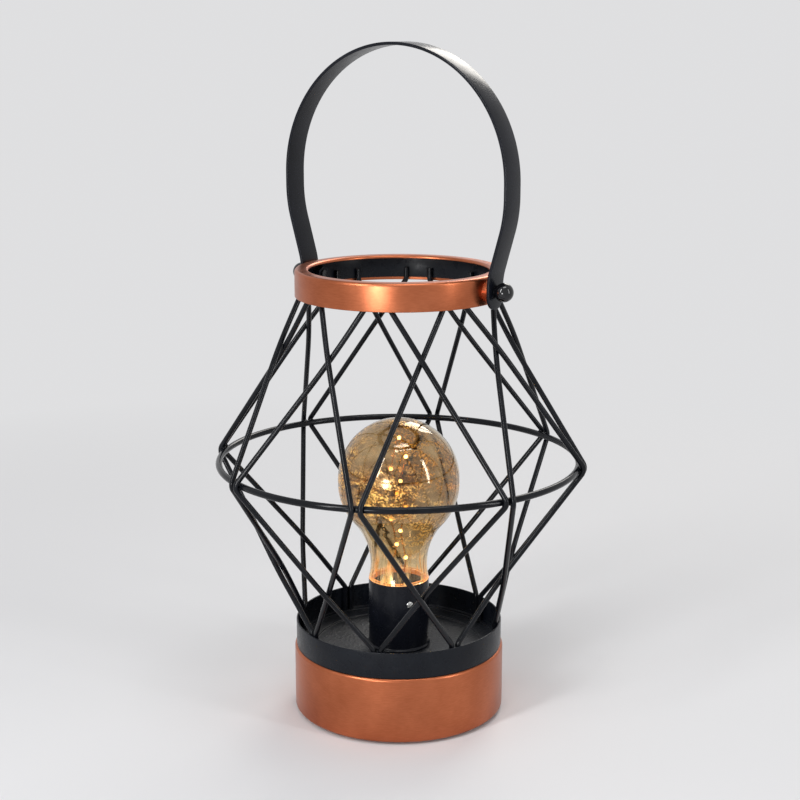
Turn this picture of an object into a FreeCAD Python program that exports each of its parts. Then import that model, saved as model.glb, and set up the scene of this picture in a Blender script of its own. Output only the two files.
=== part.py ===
import FreeCAD, Part
import math
import os

V = FreeCAD.Vector
UP = V(0, 0, 1)
ACROSS = V(1, 0, 0)
DEPTH = V(0, 1, 0)
CENTRE = V(0, 0, 0)
CORNER_SWEEPS = 12       # passes that settle the rounded corners on their marks
TURN = 360.0
HEX_SIDES = 6
TINY = 1e-6

# ------------------------------------------------------------------ play between pieces, in mm
SEAT_GAP = 0.02          # between two faces that rest on each other
TUCK_GAP = 0.05          # all round a piece pushed into another
RUN_GAP = 0.05           # running play of the handle on its pivots
SLIDE_GAP = 0.15         # play of the sliding door and of the switch knob
CELL_GAP = 0.4           # between a cell and its neighbours

# ------------------------------------------------------------------ sheet metal
SHEET = 0.8              # drum, tray, neck liner and neck trim

# ------------------------------------------------------------------ base drum
DRUM_LIFT = 1.0          # drum's lower edge above the table
DRUM_R = 52.2
DRUM_H = 32.6
DRUM_TOP_ROUND = 1.4
DRUM_TOP_FLAT = 0.2      # flat left on the rolled-in top edge
DRUM_FOOT_ROUND = 2.0
DRUM_FLANGE = 5.2        # turned-in foot that carries the cover

# ------------------------------------------------------------------ tray
TRAY_INSET = 0.9         # band face behind the drum face
TRAY_BAND_H = 12.9
TRAY_EDGE_ROUND = 0.3
TRAY_LEDGE_DROP = 0.5    # outer floor below the ledge
TRAY_STEP_R = 41.4
TRAY_STEP = 0.8          # inner floor below the outer floor

# ------------------------------------------------------------------ socket and its fastening
SOCKET_R = 15.0
SOCKET_H = 34.6
SOCKET_WALL = 1.2
SOCKET_FLOOR = 2.0
SOCKET_FOOT = 0.8        # flare at the foot
SOCKET_LIP_ROUND = 0.4
NIPPLE_R = 5.0
NIPPLE_WALL = 1.2
NIPPLE_PROUD = 1.0       # nipple past each nut
NIPPLE_NUT_FLATS = 14.0
NIPPLE_NUT_H = 2.6
SOCKET_SCREW_Z = 24.9    # above the tray floor
SOCKET_SCREW_ANGLE = -34.5
SOCKET_SCREW_HEAD_R = 1.6
SOCKET_SCREW_HEAD_H = 0.7
SOCKET_SCREW_R = 1.0
SOCKET_SCREW_BITE = 6.0  # length inside the plug

# ------------------------------------------------------------------ bulb
GLASS = 0.8
BULB_R = 30.0
BULB_BELT = 2.2          # straight part at the widest height
BULB_NECK_R = 14.1
BULB_NECK_Z = 7.6        # narrowest height above the socket
BULB_FLARE_R = 32.1      # hollow curve from neck to globe
BULB_COLLAR = 6.0        # length pushed into the socket
PLUG_H = 12.0
PLUG_BOSS = 4.0
WIRE_R = 0.3
WIRE_STEPS = 6
WIRE_SWAY = 1.6
WIRE_SPREAD = 2.6        # each leg from the axis
WIRE_BEND_R = 1.2
WIRE_TOP = 5.6           # under the top of the glass
WIRE_TWIST = 55.0        # second leg's plane, degrees
LED_R = 1.1

# ------------------------------------------------------------------ cage
NODES = 8
FIRST_NODE = 22.5        # degrees from the right-hand pivot
ROD_R = 1.3
ROD_GAP = 0.1            # between rods where they cross
RING_R = 88.0
RING_WIRE_R = 1.6
RING_Z = 128.1
APEX_TURN = 1.25         # each rod's waist point from its node, degrees
NECK_TURN = 37.6         # rod's upper end from its node, degrees
RIM_TURN = 43.0          # rod's lower end from its node, degrees
WAIST_BEND_R = 4.0
END_BEND_R = 4.0
CROSS_BEND_R = 350.0
RIM_BEND_ABOVE = 0.8     # bend over the tray rim
NECK_BEND_ABOVE = 0.5    # bend over the trim's lower edge
ROD_TOP_LEN = 6.0        # straight upper end

# ------------------------------------------------------------------ neck
NECK_Z = 209.5
NECK_R = 50.0
NECK_H = 13.2
NECK_LIP_W = 6.65        # top from the outer face to the lip's inner face
NECK_LIP_ROLL = 1.4
NECK_ROUND = 1.5
LINER_RAISE = 1.5        # liner's lower edge above the trim's

# ------------------------------------------------------------------ handle and pivots
PIVOT_RISE = 6.5         # pivot above the trim's lower edge
HANDLE_W = 13.0
HANDLE_T = 1.5
HANDLE_FLARE = 8.5       # outer face beyond the ear's outer face
HANDLE_RISE = 112.5      # crown above the pivot
HANDLE_SHOULDER = 35.3   # pivot to the outer corner
HANDLE_LEAN = 16.2       # degrees
SHOULDER_BEND_R = 60.0
EAR_BEND_R = 30.0
EAR_DROP = 2.0           # ear's round end lower than one centred on the pivot
SPACER_R = 5.2
SPACER_T = 3.0
BOLT_R = 2.0
BOLT_HEAD_R = 4.5
BOLT_HEAD_OUT = 4.2      # head's centre beyond the strap
BOLT_PROUD = 1.0         # bolt past its nut
NUT_FLATS = 7.0
NUT_H = 3.0

# ------------------------------------------------------------------ base cover, posts and feet
COVER_T = 3.0
POST_R = 3.5
POST_CLEAR = 5.5         # post inside the drum's flange
POST_ANGLE = 22.0
SCREW_R = 1.5
SCREW_HEAD_R = 2.75
SCREW_HEAD_H = 1.6
SCREW_BITE = 8.0         # length inside a post
CROSS_W = 0.7            # cross recess in the heads of the cover's and the board's screws
CROSS_SPAN = 2.4
CROSS_DEPTH = 0.7
FOOT_R = 5.0
FOOT_CLEAR = 2.0         # foot inside the drum's flange
FOOT_ANGLE = 40.0
FOOT_ROUND = 0.5

# ------------------------------------------------------------------ batteries and their box
CELLS = 3
CELL_R = 7.25
CELL_L = 49.5
NUB_R = 2.75
NUB_H = 1.0
BOX_WALL = 1.5
BOX_Y = 7.0              # centre of the box behind the axis
CONTACT_T = 0.4
CONTACT_W = 9.0
LEAF_T = 0.3
LEAF_REACH = 2.5
LEAF_FOLD_R = 0.55
LEAF_BEND_R = 1.0
LEAF_END = 1.1           # free tip off the wall

# ------------------------------------------------------------------ battery door
DOOR_T = 1.8
DOOR_LAP = 0.4           # door past the opening, each end
TONGUE_W = 1.4
TONGUE_T = 0.8
DOOR_TRAVEL = 5.0
GRIP_GROOVES = 3
GRIP_W = 1.0
GRIP_PITCH = 2.4
GRIP_LEN = 16.0
GRIP_DEEP = 0.5
GRIP_Y = 22.0            # first groove from the door's centre

# ------------------------------------------------------------------ circuit board
BOARD_W = 30.0
BOARD_L = 34.0
BOARD_T = 1.6
BOARD_Y = 3.0
BOSS_R = 2.2
BOSS_H = 1.5
BOSS_INSET = 3.0
BOARD_SCREW_R = 1.0
BOARD_SCREW_BITE = 2.0
BOARD_SCREW_HEAD_R = 1.8
BOARD_SCREW_HEAD_H = 1.0
CHIP_W = 6.0
CHIP_L = 5.0
CHIP_H = 1.5
COIL_R = 3.0
COIL_H = 3.2
CHIP_Y = 12.0            # chip's near edge behind the axis
COIL_X = 7.5
COIL_Y = 6.0
LEAD_R = 0.6
LEAD_SPREAD = 1.6

# ------------------------------------------------------------------ switch
SWITCH_INSET = 16.2      # knob's axis inside the drum's face
SWITCH_H = 7.0
SWITCH_WALL = 1.0
SLIDER_L = 12.0
SLIDER_W = 5.0
SLIDER_T = 3.0
KNOB_L = 4.0
KNOB_W = 3.0
KNOB_PROUD = 0.9
KNOB_ROUND = 0.4
SWITCH_TRAVEL = 4.0
SWITCH_LEAD_SPREAD = 4.0
SWITCH_LEAD_Y = -10.0
SWITCH_LEAD_RISE = 2.4
SWITCH_LEAD_BEND_R = 2.0

# ------------------------------------------------------------------ heights and radii that follow
DRUM_TOP = DRUM_LIFT + DRUM_H
DRUM_LIP_R = DRUM_R - DRUM_TOP_ROUND - DRUM_TOP_FLAT
FLANGE_TOP = DRUM_LIFT + SHEET
FLANGE_R = DRUM_R - DRUM_FLANGE
LEDGE_Z = DRUM_TOP + SEAT_GAP
TRAY_R = DRUM_R - TRAY_INSET
TRAY_IN_R = TRAY_R - SHEET
TRAY_LOW_R = DRUM_LIP_R - TUCK_GAP
RIM_Z = LEDGE_Z + TRAY_BAND_H
OUTER_FLOOR = LEDGE_Z - TRAY_LEDGE_DROP
FLOOR = OUTER_FLOOR - TRAY_STEP
UNDER_FLOOR = FLOOR - SHEET
SOCKET_BASE = FLOOR + SEAT_GAP
SOCKET_TOP = SOCKET_BASE + SOCKET_H
SOCKET_IN_R = SOCKET_R - SOCKET_WALL
COLLAR_R = SOCKET_IN_R - TUCK_GAP
GLASS_BASE = SOCKET_TOP + SEAT_GAP
COLLAR_LOW = GLASS_BASE - BULB_COLLAR
PLUG_TOP = COLLAR_LOW - SEAT_GAP
PLUG_LOW = PLUG_TOP - PLUG_H
BOSS_TOP = PLUG_TOP + PLUG_BOSS
NECK_WAIST_Z = GLASS_BASE + BULB_NECK_Z
FLARE_X = BULB_NECK_R + BULB_FLARE_R
GLOBE_LOW_Z = NECK_WAIST_Z + math.sqrt((BULB_R + BULB_FLARE_R) ** 2 - FLARE_X ** 2)
GLOBE_HIGH_Z = GLOBE_LOW_Z + BULB_BELT
BULB_TOP = GLOBE_HIGH_Z + BULB_R
NECK_TOP = NECK_Z + NECK_H
NECK_LIP_R = NECK_R - NECK_LIP_W
LINER_R = NECK_R - SHEET - TUCK_GAP
LINER_IN_R = LINER_R - SHEET
LINER_LOW = NECK_Z + LINER_RAISE
LINER_TOP = NECK_TOP - NECK_ROUND
ROD_TOP_R = LINER_IN_R - ROD_R - SEAT_GAP
ROD_LOW_R = TRAY_IN_R - ROD_R - SEAT_GAP
ROD_WAIST_R = RING_R + RING_WIRE_R + ROD_R + SEAT_GAP
ROD_LOW_Z = LEDGE_Z + SHEET + SEAT_GAP
RIM_BEND_Z = RIM_Z + RIM_BEND_ABOVE
NECK_BEND_Z = NECK_Z + NECK_BEND_ABOVE
ROD_TOP_Z = NECK_BEND_Z + ROD_TOP_LEN
PIVOT_Z = NECK_Z + PIVOT_RISE
EAR_X = NECK_R + SPACER_T
EAR_OUT_X = EAR_X + HANDLE_T
HANDLE_OUT = EAR_OUT_X + HANDLE_FLARE
COVER_LOW = FLANGE_TOP + SEAT_GAP
COVER_TOP = COVER_LOW + COVER_T
COVER_R = DRUM_R - DRUM_FOOT_ROUND - TUCK_GAP
CELL_PITCH = 2 * CELL_R + CELL_GAP
BOX_IN_X = CELLS * CELL_PITCH / 2 + CELL_GAP / 2
BOX_IN_Y = (CELL_L + NUB_H + CONTACT_T + LEAF_REACH + LEAF_T) / 2 + CELL_GAP
BOX_OUT_X = BOX_IN_X + BOX_WALL
BOX_OUT_Y = BOX_IN_Y + BOX_WALL
BOX_LOW = COVER_TOP + SEAT_GAP
CELL_Z = BOX_LOW + CELL_GAP + CELL_R
BOX_IN_TOP = CELL_Z + CELL_R + CELL_GAP
BOX_TOP = BOX_IN_TOP + BOX_WALL
BOARD_LOW = BOX_TOP + BOSS_H + SEAT_GAP
BOARD_TOP = BOARD_LOW + BOARD_T
POST_RING_R = FLANGE_R - POST_CLEAR - POST_R
POST_LOW = COVER_TOP + SEAT_GAP
POST_TOP = UNDER_FLOOR - SEAT_GAP
FOOT_RING_R = FLANGE_R - FOOT_CLEAR - FOOT_R
SWITCH_Y = SWITCH_INSET - DRUM_R
SWITCH_LOW = COVER_TOP + SEAT_GAP
SWITCH_TOP = SWITCH_LOW + SWITCH_H


def unit(vector):
    """Return a copy of the vector with length one."""
    result = V(vector)
    result.normalize()
    return result


def polar(radius, degrees, height):
    """Return the point at a radius and an angle from +X."""
    turn = math.radians(degrees)
    return V(radius * math.cos(turn), radius * math.sin(turn), height)


def corner_arc(before, corner, after, radius):
    """Return start, middle and end of the tangent arc that rounds a corner."""
    back = unit(before - corner)
    ahead = unit(after - corner)
    half = back.getAngle(ahead) / 2
    reach = radius / math.tan(half)
    drop = radius / math.sin(half) - radius
    return corner + back * reach, corner + unit(back + ahead) * drop, corner + ahead * reach


def line(start, end):
    """Return a straight edge in a list, or an empty list where it has no length."""
    if (end - start).Length < TINY:
        return []
    return [Part.LineSegment(start, end).toShape()]


def run(points, radii):
    """Return straight edges joined by tangent arcs, one radius for each inner point."""
    edges = []
    start = points[0]
    for index, radius in enumerate(radii):
        first, middle, last = corner_arc(points[index], points[index + 1], points[index + 2], radius)
        edges += line(start, first)
        edges.append(Part.Arc(first, middle, last).toShape())
        start = last
    return edges + line(start, points[-1])


def loop(corners):
    """Return the face inside (x, z, rounding) corners in the XZ plane."""
    points = [V(x, 0, z) for x, z, rounding in corners]
    count = len(points)
    starts = []
    ends = []
    arcs = []
    for index, (x, z, rounding) in enumerate(corners):
        point = points[index]
        if rounding:
            first, middle, last = corner_arc(points[index - 1], point, points[(index + 1) % count], rounding)
            arcs.append([Part.Arc(first, middle, last).toShape()])
            starts.append(first)
            ends.append(last)
        else:
            arcs.append([])
            starts.append(point)
            ends.append(point)
    edges = []
    for index in range(count):
        edges += line(ends[index - 1], starts[index]) + arcs[index]
    return Part.Face(Part.Wire(edges))


def lathe(corners):
    """Return the solid turned about the vertical axis from (radius, height, rounding) corners."""
    return loop(corners).revolve(CENTRE, UP, TURN)


def tube(edges, radius):
    """Return a round bar along edges, which start on a straight run."""
    path = Part.Wire(edges)
    first = edges[0]
    start = first.valueAt(first.FirstParameter)
    heading = first.tangentAt(first.FirstParameter)
    section = Part.Wire([Part.Circle(start, heading, radius).toShape()])
    return path.makePipeShell([section], True, False)


def side_run(points, radii, offset, normal):
    """Return the run beside another one in the plane that has this normal."""
    headings = [unit(end - start) for start, end in zip(points, points[1:])]
    sides = [heading.cross(normal) for heading in headings]
    moved = [points[0] + sides[0] * offset]
    bends = []
    for index, radius in enumerate(radii):
        first = sides[index]
        second = sides[index + 1]
        moved.append(points[index + 1] + (first + second) * (offset / (1 + first.dot(second))))
        toward = math.copysign(1, headings[index + 1].dot(first))
        bends.append(radius - toward * offset)
    moved.append(points[-1] + sides[-1] * offset)
    return run(moved, bends), moved[0], moved[-1]


def strip(points, radii, thickness, width, normal):
    """Return a bent strip, centred on its run, that is as wide as given along the normal."""
    left, left_start, left_end = side_run(points, radii, thickness / 2, normal)
    right, right_start, right_end = side_run(points, radii, -thickness / 2, normal)
    ends = line(left_start, right_start) + line(left_end, right_end)
    wire = Part.Wire(Part.__sortEdges__(left + right + ends))
    wire.translate(normal * (-width / 2))
    return Part.Face(wire).extrude(normal * width)


def block(x_from, x_to, y_from, y_to, z_from, z_to):
    """Return a box between two values on each axis."""
    return Part.makeBox(x_to - x_from, y_to - y_from, z_to - z_from, V(x_from, y_from, z_from))


def post(radius, point, height, heading=UP):
    """Return a cylinder from a point along a heading."""
    return Part.makeCylinder(radius, height, point, heading)


def hexagon(flats, point, height, heading):
    """Return a hexagonal prism from a point along a heading, with a flat to the side."""
    reach = flats / math.sqrt(3)
    corners = [polar(reach, step * TURN / HEX_SIDES, 0) for step in range(HEX_SIDES + 1)]
    solid = Part.Face(Part.makePolygon(corners)).extrude(UP * height)
    solid.Placement = FreeCAD.Placement(point, FreeCAD.Rotation(UP, heading))
    return solid


def cross_recess(point):
    """Return the two crossed slots of a screw's recess, from a point upwards."""
    half = CROSS_W / 2
    reach = CROSS_SPAN / 2
    slots = [block(-x, x, -y, y, 0, CROSS_DEPTH) for x, y in ((half, reach), (reach, half))]
    return [slot.translated(point) for slot in slots]


def mirror(shape):
    """Return the shape mirrored from right to left."""
    return shape.mirror(CENTRE, ACROSS)


def group(shapes):
    """Return several separate solids as one node."""
    return Part.makeCompound(shapes)


# ---------------------------------------------------------------------------- base
def base_drum():
    """Return the copper drum, rolled in at its top and turned in at its foot."""
    corners = [
        (DRUM_R, DRUM_LIFT, DRUM_FOOT_ROUND),
        (DRUM_R, DRUM_TOP, DRUM_TOP_ROUND),
        (DRUM_LIP_R, DRUM_TOP, 0),
        (DRUM_LIP_R, DRUM_TOP - SHEET, 0),
        (DRUM_R - SHEET, DRUM_TOP - SHEET, DRUM_TOP_ROUND - SHEET),
        (DRUM_R - SHEET, FLANGE_TOP, DRUM_FOOT_ROUND - SHEET),
        (FLANGE_R, FLANGE_TOP, 0),
        (FLANGE_R, DRUM_LIFT, 0),
    ]
    return lathe(corners)


def tray():
    """Return the black tray: its band, the ledge on the drum and the stepped floor."""
    hole = NIPPLE_R + TUCK_GAP
    corners = [
        (TRAY_R, RIM_Z, TRAY_EDGE_ROUND),
        (TRAY_R, LEDGE_Z, 0),
        (TRAY_LOW_R, LEDGE_Z, 0),
        (TRAY_LOW_R, OUTER_FLOOR - SHEET, 0),
        (TRAY_STEP_R + SHEET, OUTER_FLOOR - SHEET, 0),
        (TRAY_STEP_R + SHEET, UNDER_FLOOR, 0),
        (hole, UNDER_FLOOR, 0),
        (hole, FLOOR, 0),
        (TRAY_STEP_R, FLOOR, 0),
        (TRAY_STEP_R, OUTER_FLOOR, 0),
        (TRAY_LOW_R - SHEET, OUTER_FLOOR, 0),
        (TRAY_LOW_R - SHEET, LEDGE_Z + SHEET, 0),
        (TRAY_IN_R, LEDGE_Z + SHEET, 0),
        (TRAY_IN_R, RIM_Z, TRAY_EDGE_ROUND),
    ]
    return lathe(corners)


def post_points(height):
    """Return the four post axes at a height."""
    angles = [POST_ANGLE, TURN / 2 - POST_ANGLE, TURN / 2 + POST_ANGLE, TURN - POST_ANGLE]
    return [polar(POST_RING_R, angle, height) for angle in angles]


def foot_points(height):
    """Return the four feet's axes at a height."""
    angles = [FOOT_ANGLE, TURN / 2 - FOOT_ANGLE, TURN / 2 + FOOT_ANGLE, TURN - FOOT_ANGLE]
    return [polar(FOOT_RING_R, angle, height) for angle in angles]


def door_ends():
    """Return where the closed door starts and ends along Y."""
    reach = BOX_IN_Y + DOOR_LAP
    return BOX_Y - reach, BOX_Y + reach


def base_cover():
    """Return the plate that closes the drum, with its door bay, screw holes and knob slot."""
    disc = post(COVER_R, V(0, 0, COVER_LOW), COVER_T)
    start, end = door_ends()
    room_x = BOX_IN_X + DOOR_LAP + SLIDE_GAP
    room_from = start - SLIDE_GAP
    room_to = end + DOOR_TRAVEL + SLIDE_GAP
    room_top = COVER_LOW + DOOR_T + SLIDE_GAP
    groove_low = COVER_LOW + DOOR_T - TONGUE_T - SLIDE_GAP
    below = COVER_LOW - SHEET
    above = COVER_TOP + SHEET
    cuts = [block(-room_x, room_x, room_from, room_to, below, room_top)]
    groove_x = room_x + TONGUE_W
    cuts.append(block(-groove_x, groove_x, room_from, room_to, groove_low, room_top))
    cuts.append(block(-BOX_IN_X, BOX_IN_X, BOX_Y - BOX_IN_Y, BOX_Y + BOX_IN_Y, below, above))
    for point in post_points(below):
        cuts.append(post(SCREW_R + TUCK_GAP, point, above - below))
        cuts.append(post(SCREW_HEAD_R + TUCK_GAP, point, SHEET + SCREW_HEAD_H + SEAT_GAP))
    slot_x = (KNOB_L + SWITCH_TRAVEL) / 2 + SLIDE_GAP
    slot_y = KNOB_W / 2 + SLIDE_GAP
    cuts.append(block(-slot_x, slot_x, SWITCH_Y - slot_y, SWITCH_Y + slot_y, below, above))
    return disc.cut(cuts)


def posts():
    """Return the four posts that hang under the tray and take the cover's screws."""
    height = POST_TOP - POST_LOW
    pilot = SCREW_BITE + TUCK_GAP
    solids = []
    for point in post_points(POST_LOW):
        solids.append(post(POST_R, point, height).cut(post(SCREW_R + SEAT_GAP, point, pilot)))
    return group(solids)


def cover_screws():
    """Return the four screws that hold the cover to the posts."""
    solids = []
    for point in post_points(COVER_LOW):
        shank = post(SCREW_R, point, COVER_T + SEAT_GAP + SCREW_BITE)
        screw = shank.fuse(post(SCREW_HEAD_R, point, SCREW_HEAD_H)).removeSplitter()
        solids.append(screw.cut(cross_recess(point)))
    return group(solids)


def feet():
    """Return the four rubber feet."""
    height = COVER_LOW - SEAT_GAP
    pad = lathe([(0, 0, 0), (FOOT_R, 0, FOOT_ROUND), (FOOT_R, height, 0), (0, height, 0)])
    solids = []
    for point in foot_points(0):
        copy = pad.copy()
        copy.translate(point)
        solids.append(copy)
    return group(solids)


# ---------------------------------------------------------------------------- batteries
def boss_points(height):
    """Return the four board fixings at a height."""
    x = BOARD_W / 2 - BOSS_INSET
    y = BOARD_L / 2 - BOSS_INSET
    return [V(sx * x, BOARD_Y + sy * y, height) for sx in (-1, 1) for sy in (-1, 1)]


def battery_box():
    """Return the box for the cells, with the board's four bosses on its roof."""
    shell = block(-BOX_OUT_X, BOX_OUT_X, BOX_Y - BOX_OUT_Y, BOX_Y + BOX_OUT_Y, BOX_LOW, BOX_TOP)
    bay = block(-BOX_IN_X, BOX_IN_X, BOX_Y - BOX_IN_Y, BOX_Y + BOX_IN_Y, BOX_LOW - BOX_WALL, BOX_IN_TOP)
    bosses = [post(BOSS_R, point, BOSS_H + BOX_WALL / 2) for point in boss_points(BOX_TOP - BOX_WALL / 2)]
    pilots = []
    for point in boss_points(BOX_TOP + BOSS_H - BOARD_SCREW_BITE - TUCK_GAP):
        pilots.append(post(BOARD_SCREW_R + SEAT_GAP, point, BOSS_H + BOARD_SCREW_BITE))
    return shell.cut(bay).fuse(bosses).removeSplitter().cut(pilots)


def cell_x(index):
    """Return a cell's place across the box."""
    return (index - (CELLS - 1) / 2) * CELL_PITCH


def cell_way(index):
    """Return which way a cell's nub points along Y."""
    return 1 - 2 * (index % 2)


def cell(index):
    """Return one cell, its nub on the end that cell_way gives."""
    way = cell_way(index)
    nub_face = BOX_IN_Y - CONTACT_T - 2 * SEAT_GAP
    base = V(cell_x(index), BOX_Y + way * (nub_face - NUB_H - CELL_L), CELL_Z)
    heading = DEPTH * way
    nub = post(NUB_R, base, CELL_L + NUB_H, heading)
    return post(CELL_R, base, CELL_L, heading).fuse(nub).removeSplitter()


def contact_plates():
    """Return the flat contact at each cell's nub."""
    solids = []
    half = CONTACT_W / 2
    for index in range(CELLS):
        x = cell_x(index)
        wall = BOX_Y + cell_way(index) * (BOX_IN_Y - SEAT_GAP)
        face = wall - cell_way(index) * CONTACT_T
        solids.append(block(x - half, x + half, min(wall, face), max(wall, face), CELL_Z - half, CELL_Z + half))
    return group(solids)


def contact_springs():
    """Return the folded leaf at each cell's flat end."""
    solids = []
    half = CONTACT_W / 2
    for index in range(CELLS):
        way = -cell_way(index)
        wall = BOX_IN_Y - SEAT_GAP - LEAF_T / 2
        outline = [(wall, -half), (wall, half), (wall - LEAF_REACH, 0), (wall - LEAF_END, -half + LEAF_BEND_R)]
        points = [V(0, BOX_Y + way * y, CELL_Z + z) for y, z in outline]
        leaf = strip(points, [LEAF_FOLD_R, LEAF_BEND_R], LEAF_T, CONTACT_W, ACROSS)
        leaf.translate(ACROSS * cell_x(index))
        solids.append(leaf)
    return group(solids)


def battery_door():
    """Return the sliding door, with its two tongues and its grip grooves."""
    start, end = door_ends()
    half = BOX_IN_X + DOOR_LAP
    body = block(-half, half, start, end, COVER_LOW, COVER_LOW + DOOR_T)
    tongue_low = COVER_LOW + DOOR_T - TONGUE_T
    wide = half + TONGUE_W
    tongues = block(-wide, wide, start, end, tongue_low, COVER_LOW + DOOR_T)
    grooves = []
    for index in range(GRIP_GROOVES):
        y = BOX_Y + GRIP_Y - index * GRIP_PITCH
        low = COVER_LOW - GRIP_DEEP
        grooves.append(block(-GRIP_LEN / 2, GRIP_LEN / 2, y, y + GRIP_W, low, COVER_LOW + GRIP_DEEP))
    return body.fuse(tongues).removeSplitter().cut(grooves)


# ---------------------------------------------------------------------------- electronics
def circuit_board():
    """Return the board over the battery box."""
    half_x = BOARD_W / 2
    half_y = BOARD_L / 2
    board = block(-half_x, half_x, BOARD_Y - half_y, BOARD_Y + half_y, BOARD_LOW, BOARD_TOP)
    return board.cut([post(BOARD_SCREW_R + TUCK_GAP, point, BOARD_T) for point in boss_points(BOARD_LOW)])


def board_screws():
    """Return the four screws that hold the board."""
    solids = []
    for point in boss_points(BOX_TOP + BOSS_H - BOARD_SCREW_BITE):
        height = BOARD_SCREW_BITE + SEAT_GAP + BOARD_T + SEAT_GAP
        head = post(BOARD_SCREW_HEAD_R, point + UP * height, BOARD_SCREW_HEAD_H)
        screw = post(BOARD_SCREW_R, point, height).fuse(head).removeSplitter()
        recess_at = point + UP * (height + BOARD_SCREW_HEAD_H - CROSS_DEPTH)
        solids.append(screw.cut(cross_recess(recess_at)))
    return group(solids)


def board_parts():
    """Return the chip and the coil on the board."""
    low = BOARD_TOP + SEAT_GAP
    chip = block(-CHIP_W / 2, CHIP_W / 2, CHIP_Y, CHIP_Y + CHIP_L, low, low + CHIP_H)
    coil = post(COIL_R, V(COIL_X, COIL_Y, low), COIL_H)
    return group([chip, coil])


def lead_wires():
    """Return the two leads from the board up to the bulb's plug."""
    low = BOARD_TOP + SEAT_GAP
    height = PLUG_LOW - SEAT_GAP - low
    return group([post(LEAD_R, V(side * LEAD_SPREAD, 0, low), height) for side in (-1, 1)])


def switch_wires():
    """Return the two leads from the switch over to the board."""
    solids = []
    top = BOARD_TOP + SWITCH_LEAD_RISE
    for side in (-1, 1):
        x = side * SWITCH_LEAD_SPREAD
        points = [V(x, SWITCH_Y, SWITCH_TOP + SEAT_GAP), V(x, SWITCH_Y, top), V(x, SWITCH_LEAD_Y, top)]
        points.append(V(x, SWITCH_LEAD_Y, BOARD_TOP + SEAT_GAP))
        solids.append(tube(run(points, [SWITCH_LEAD_BEND_R, SWITCH_LEAD_BEND_R]), LEAD_R))
    return group(solids)


def switch_housing():
    """Return the housing that the switch slides in."""
    half_x = (SLIDER_L + SWITCH_TRAVEL) / 2 + SLIDE_GAP
    half_y = SLIDER_W / 2 + SLIDE_GAP
    out_x = half_x + SWITCH_WALL
    out_y = half_y + SWITCH_WALL
    shell = block(-out_x, out_x, SWITCH_Y - out_y, SWITCH_Y + out_y, SWITCH_LOW, SWITCH_TOP)
    low = SWITCH_LOW - SWITCH_WALL
    bay_top = SWITCH_LOW + SLIDER_T + 2 * SLIDE_GAP
    return shell.cut(block(-half_x, half_x, SWITCH_Y - half_y, SWITCH_Y + half_y, low, bay_top))


def switch_knob():
    """Return the slider and its knob, at the off end of its travel."""
    x = -SWITCH_TRAVEL / 2
    low = SWITCH_LOW + SLIDE_GAP
    tip = COVER_LOW - KNOB_PROUD
    slider = block(x - SLIDER_L / 2, x + SLIDER_L / 2, SWITCH_Y - SLIDER_W / 2, SWITCH_Y + SLIDER_W / 2,
                   low, low + SLIDER_T)
    corners = [
        (x - KNOB_L / 2, tip, KNOB_ROUND),
        (x + KNOB_L / 2, tip, KNOB_ROUND),
        (x + KNOB_L / 2, low + SLIDER_T / 2, 0),
        (x - KNOB_L / 2, low + SLIDER_T / 2, 0),
    ]
    stem = loop(corners)
    stem.translate(DEPTH * (SWITCH_Y - KNOB_W / 2))
    return slider.fuse(stem.extrude(DEPTH * KNOB_W)).removeSplitter()


# ---------------------------------------------------------------------------- socket and bulb
def socket_cup():
    """Return the socket tube with its flared foot and its screw hole."""
    hole = NIPPLE_R + TUCK_GAP
    corners = [
        (SOCKET_R + SOCKET_FOOT, SOCKET_BASE, 0),
        (SOCKET_R + SOCKET_FOOT, SOCKET_BASE + SOCKET_FOOT, 0),
        (SOCKET_R, SOCKET_BASE + 2 * SOCKET_FOOT, 0),
        (SOCKET_R, SOCKET_TOP, SOCKET_LIP_ROUND),
        (SOCKET_IN_R, SOCKET_TOP, 0),
        (SOCKET_IN_R, SOCKET_BASE + SOCKET_FLOOR, 0),
        (hole, SOCKET_BASE + SOCKET_FLOOR, 0),
        (hole, SOCKET_BASE, 0),
    ]
    return lathe(corners).cut(screw_shank(SOCKET_SCREW_R + TUCK_GAP, TUCK_GAP))


def screw_shank(radius, extra):
    """Return the socket screw's shank, or its hole when it is given extra size."""
    height = FLOOR + SOCKET_SCREW_Z
    inner = COLLAR_R - SOCKET_SCREW_BITE - extra
    heading = polar(1, SOCKET_SCREW_ANGLE, 0)
    length = SOCKET_R + SOCKET_SCREW_HEAD_H / 2 - inner
    return post(radius, polar(inner, SOCKET_SCREW_ANGLE, height), length, heading)


def socket_screw():
    """Return the small screw that holds the plug in the socket."""
    height = FLOOR + SOCKET_SCREW_Z
    heading = polar(1, SOCKET_SCREW_ANGLE, 0)
    head_at = polar(SOCKET_R + SEAT_GAP, SOCKET_SCREW_ANGLE, height)
    head = post(SOCKET_SCREW_HEAD_R, head_at, SOCKET_SCREW_HEAD_H, heading)
    return screw_shank(SOCKET_SCREW_R, 0).fuse(head).removeSplitter()


def nut_levels():
    """Return the lower faces of the two nipple nuts."""
    return UNDER_FLOOR - SEAT_GAP - NIPPLE_NUT_H, SOCKET_BASE + SOCKET_FLOOR + SEAT_GAP


def socket_nipple():
    """Return the threaded tube that the leads run through."""
    lower, upper = nut_levels()
    low = lower - NIPPLE_PROUD
    height = upper + NIPPLE_NUT_H + NIPPLE_PROUD - low
    outer = post(NIPPLE_R, V(0, 0, low), height)
    return outer.cut(post(NIPPLE_R - NIPPLE_WALL, V(0, 0, low), height))


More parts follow.
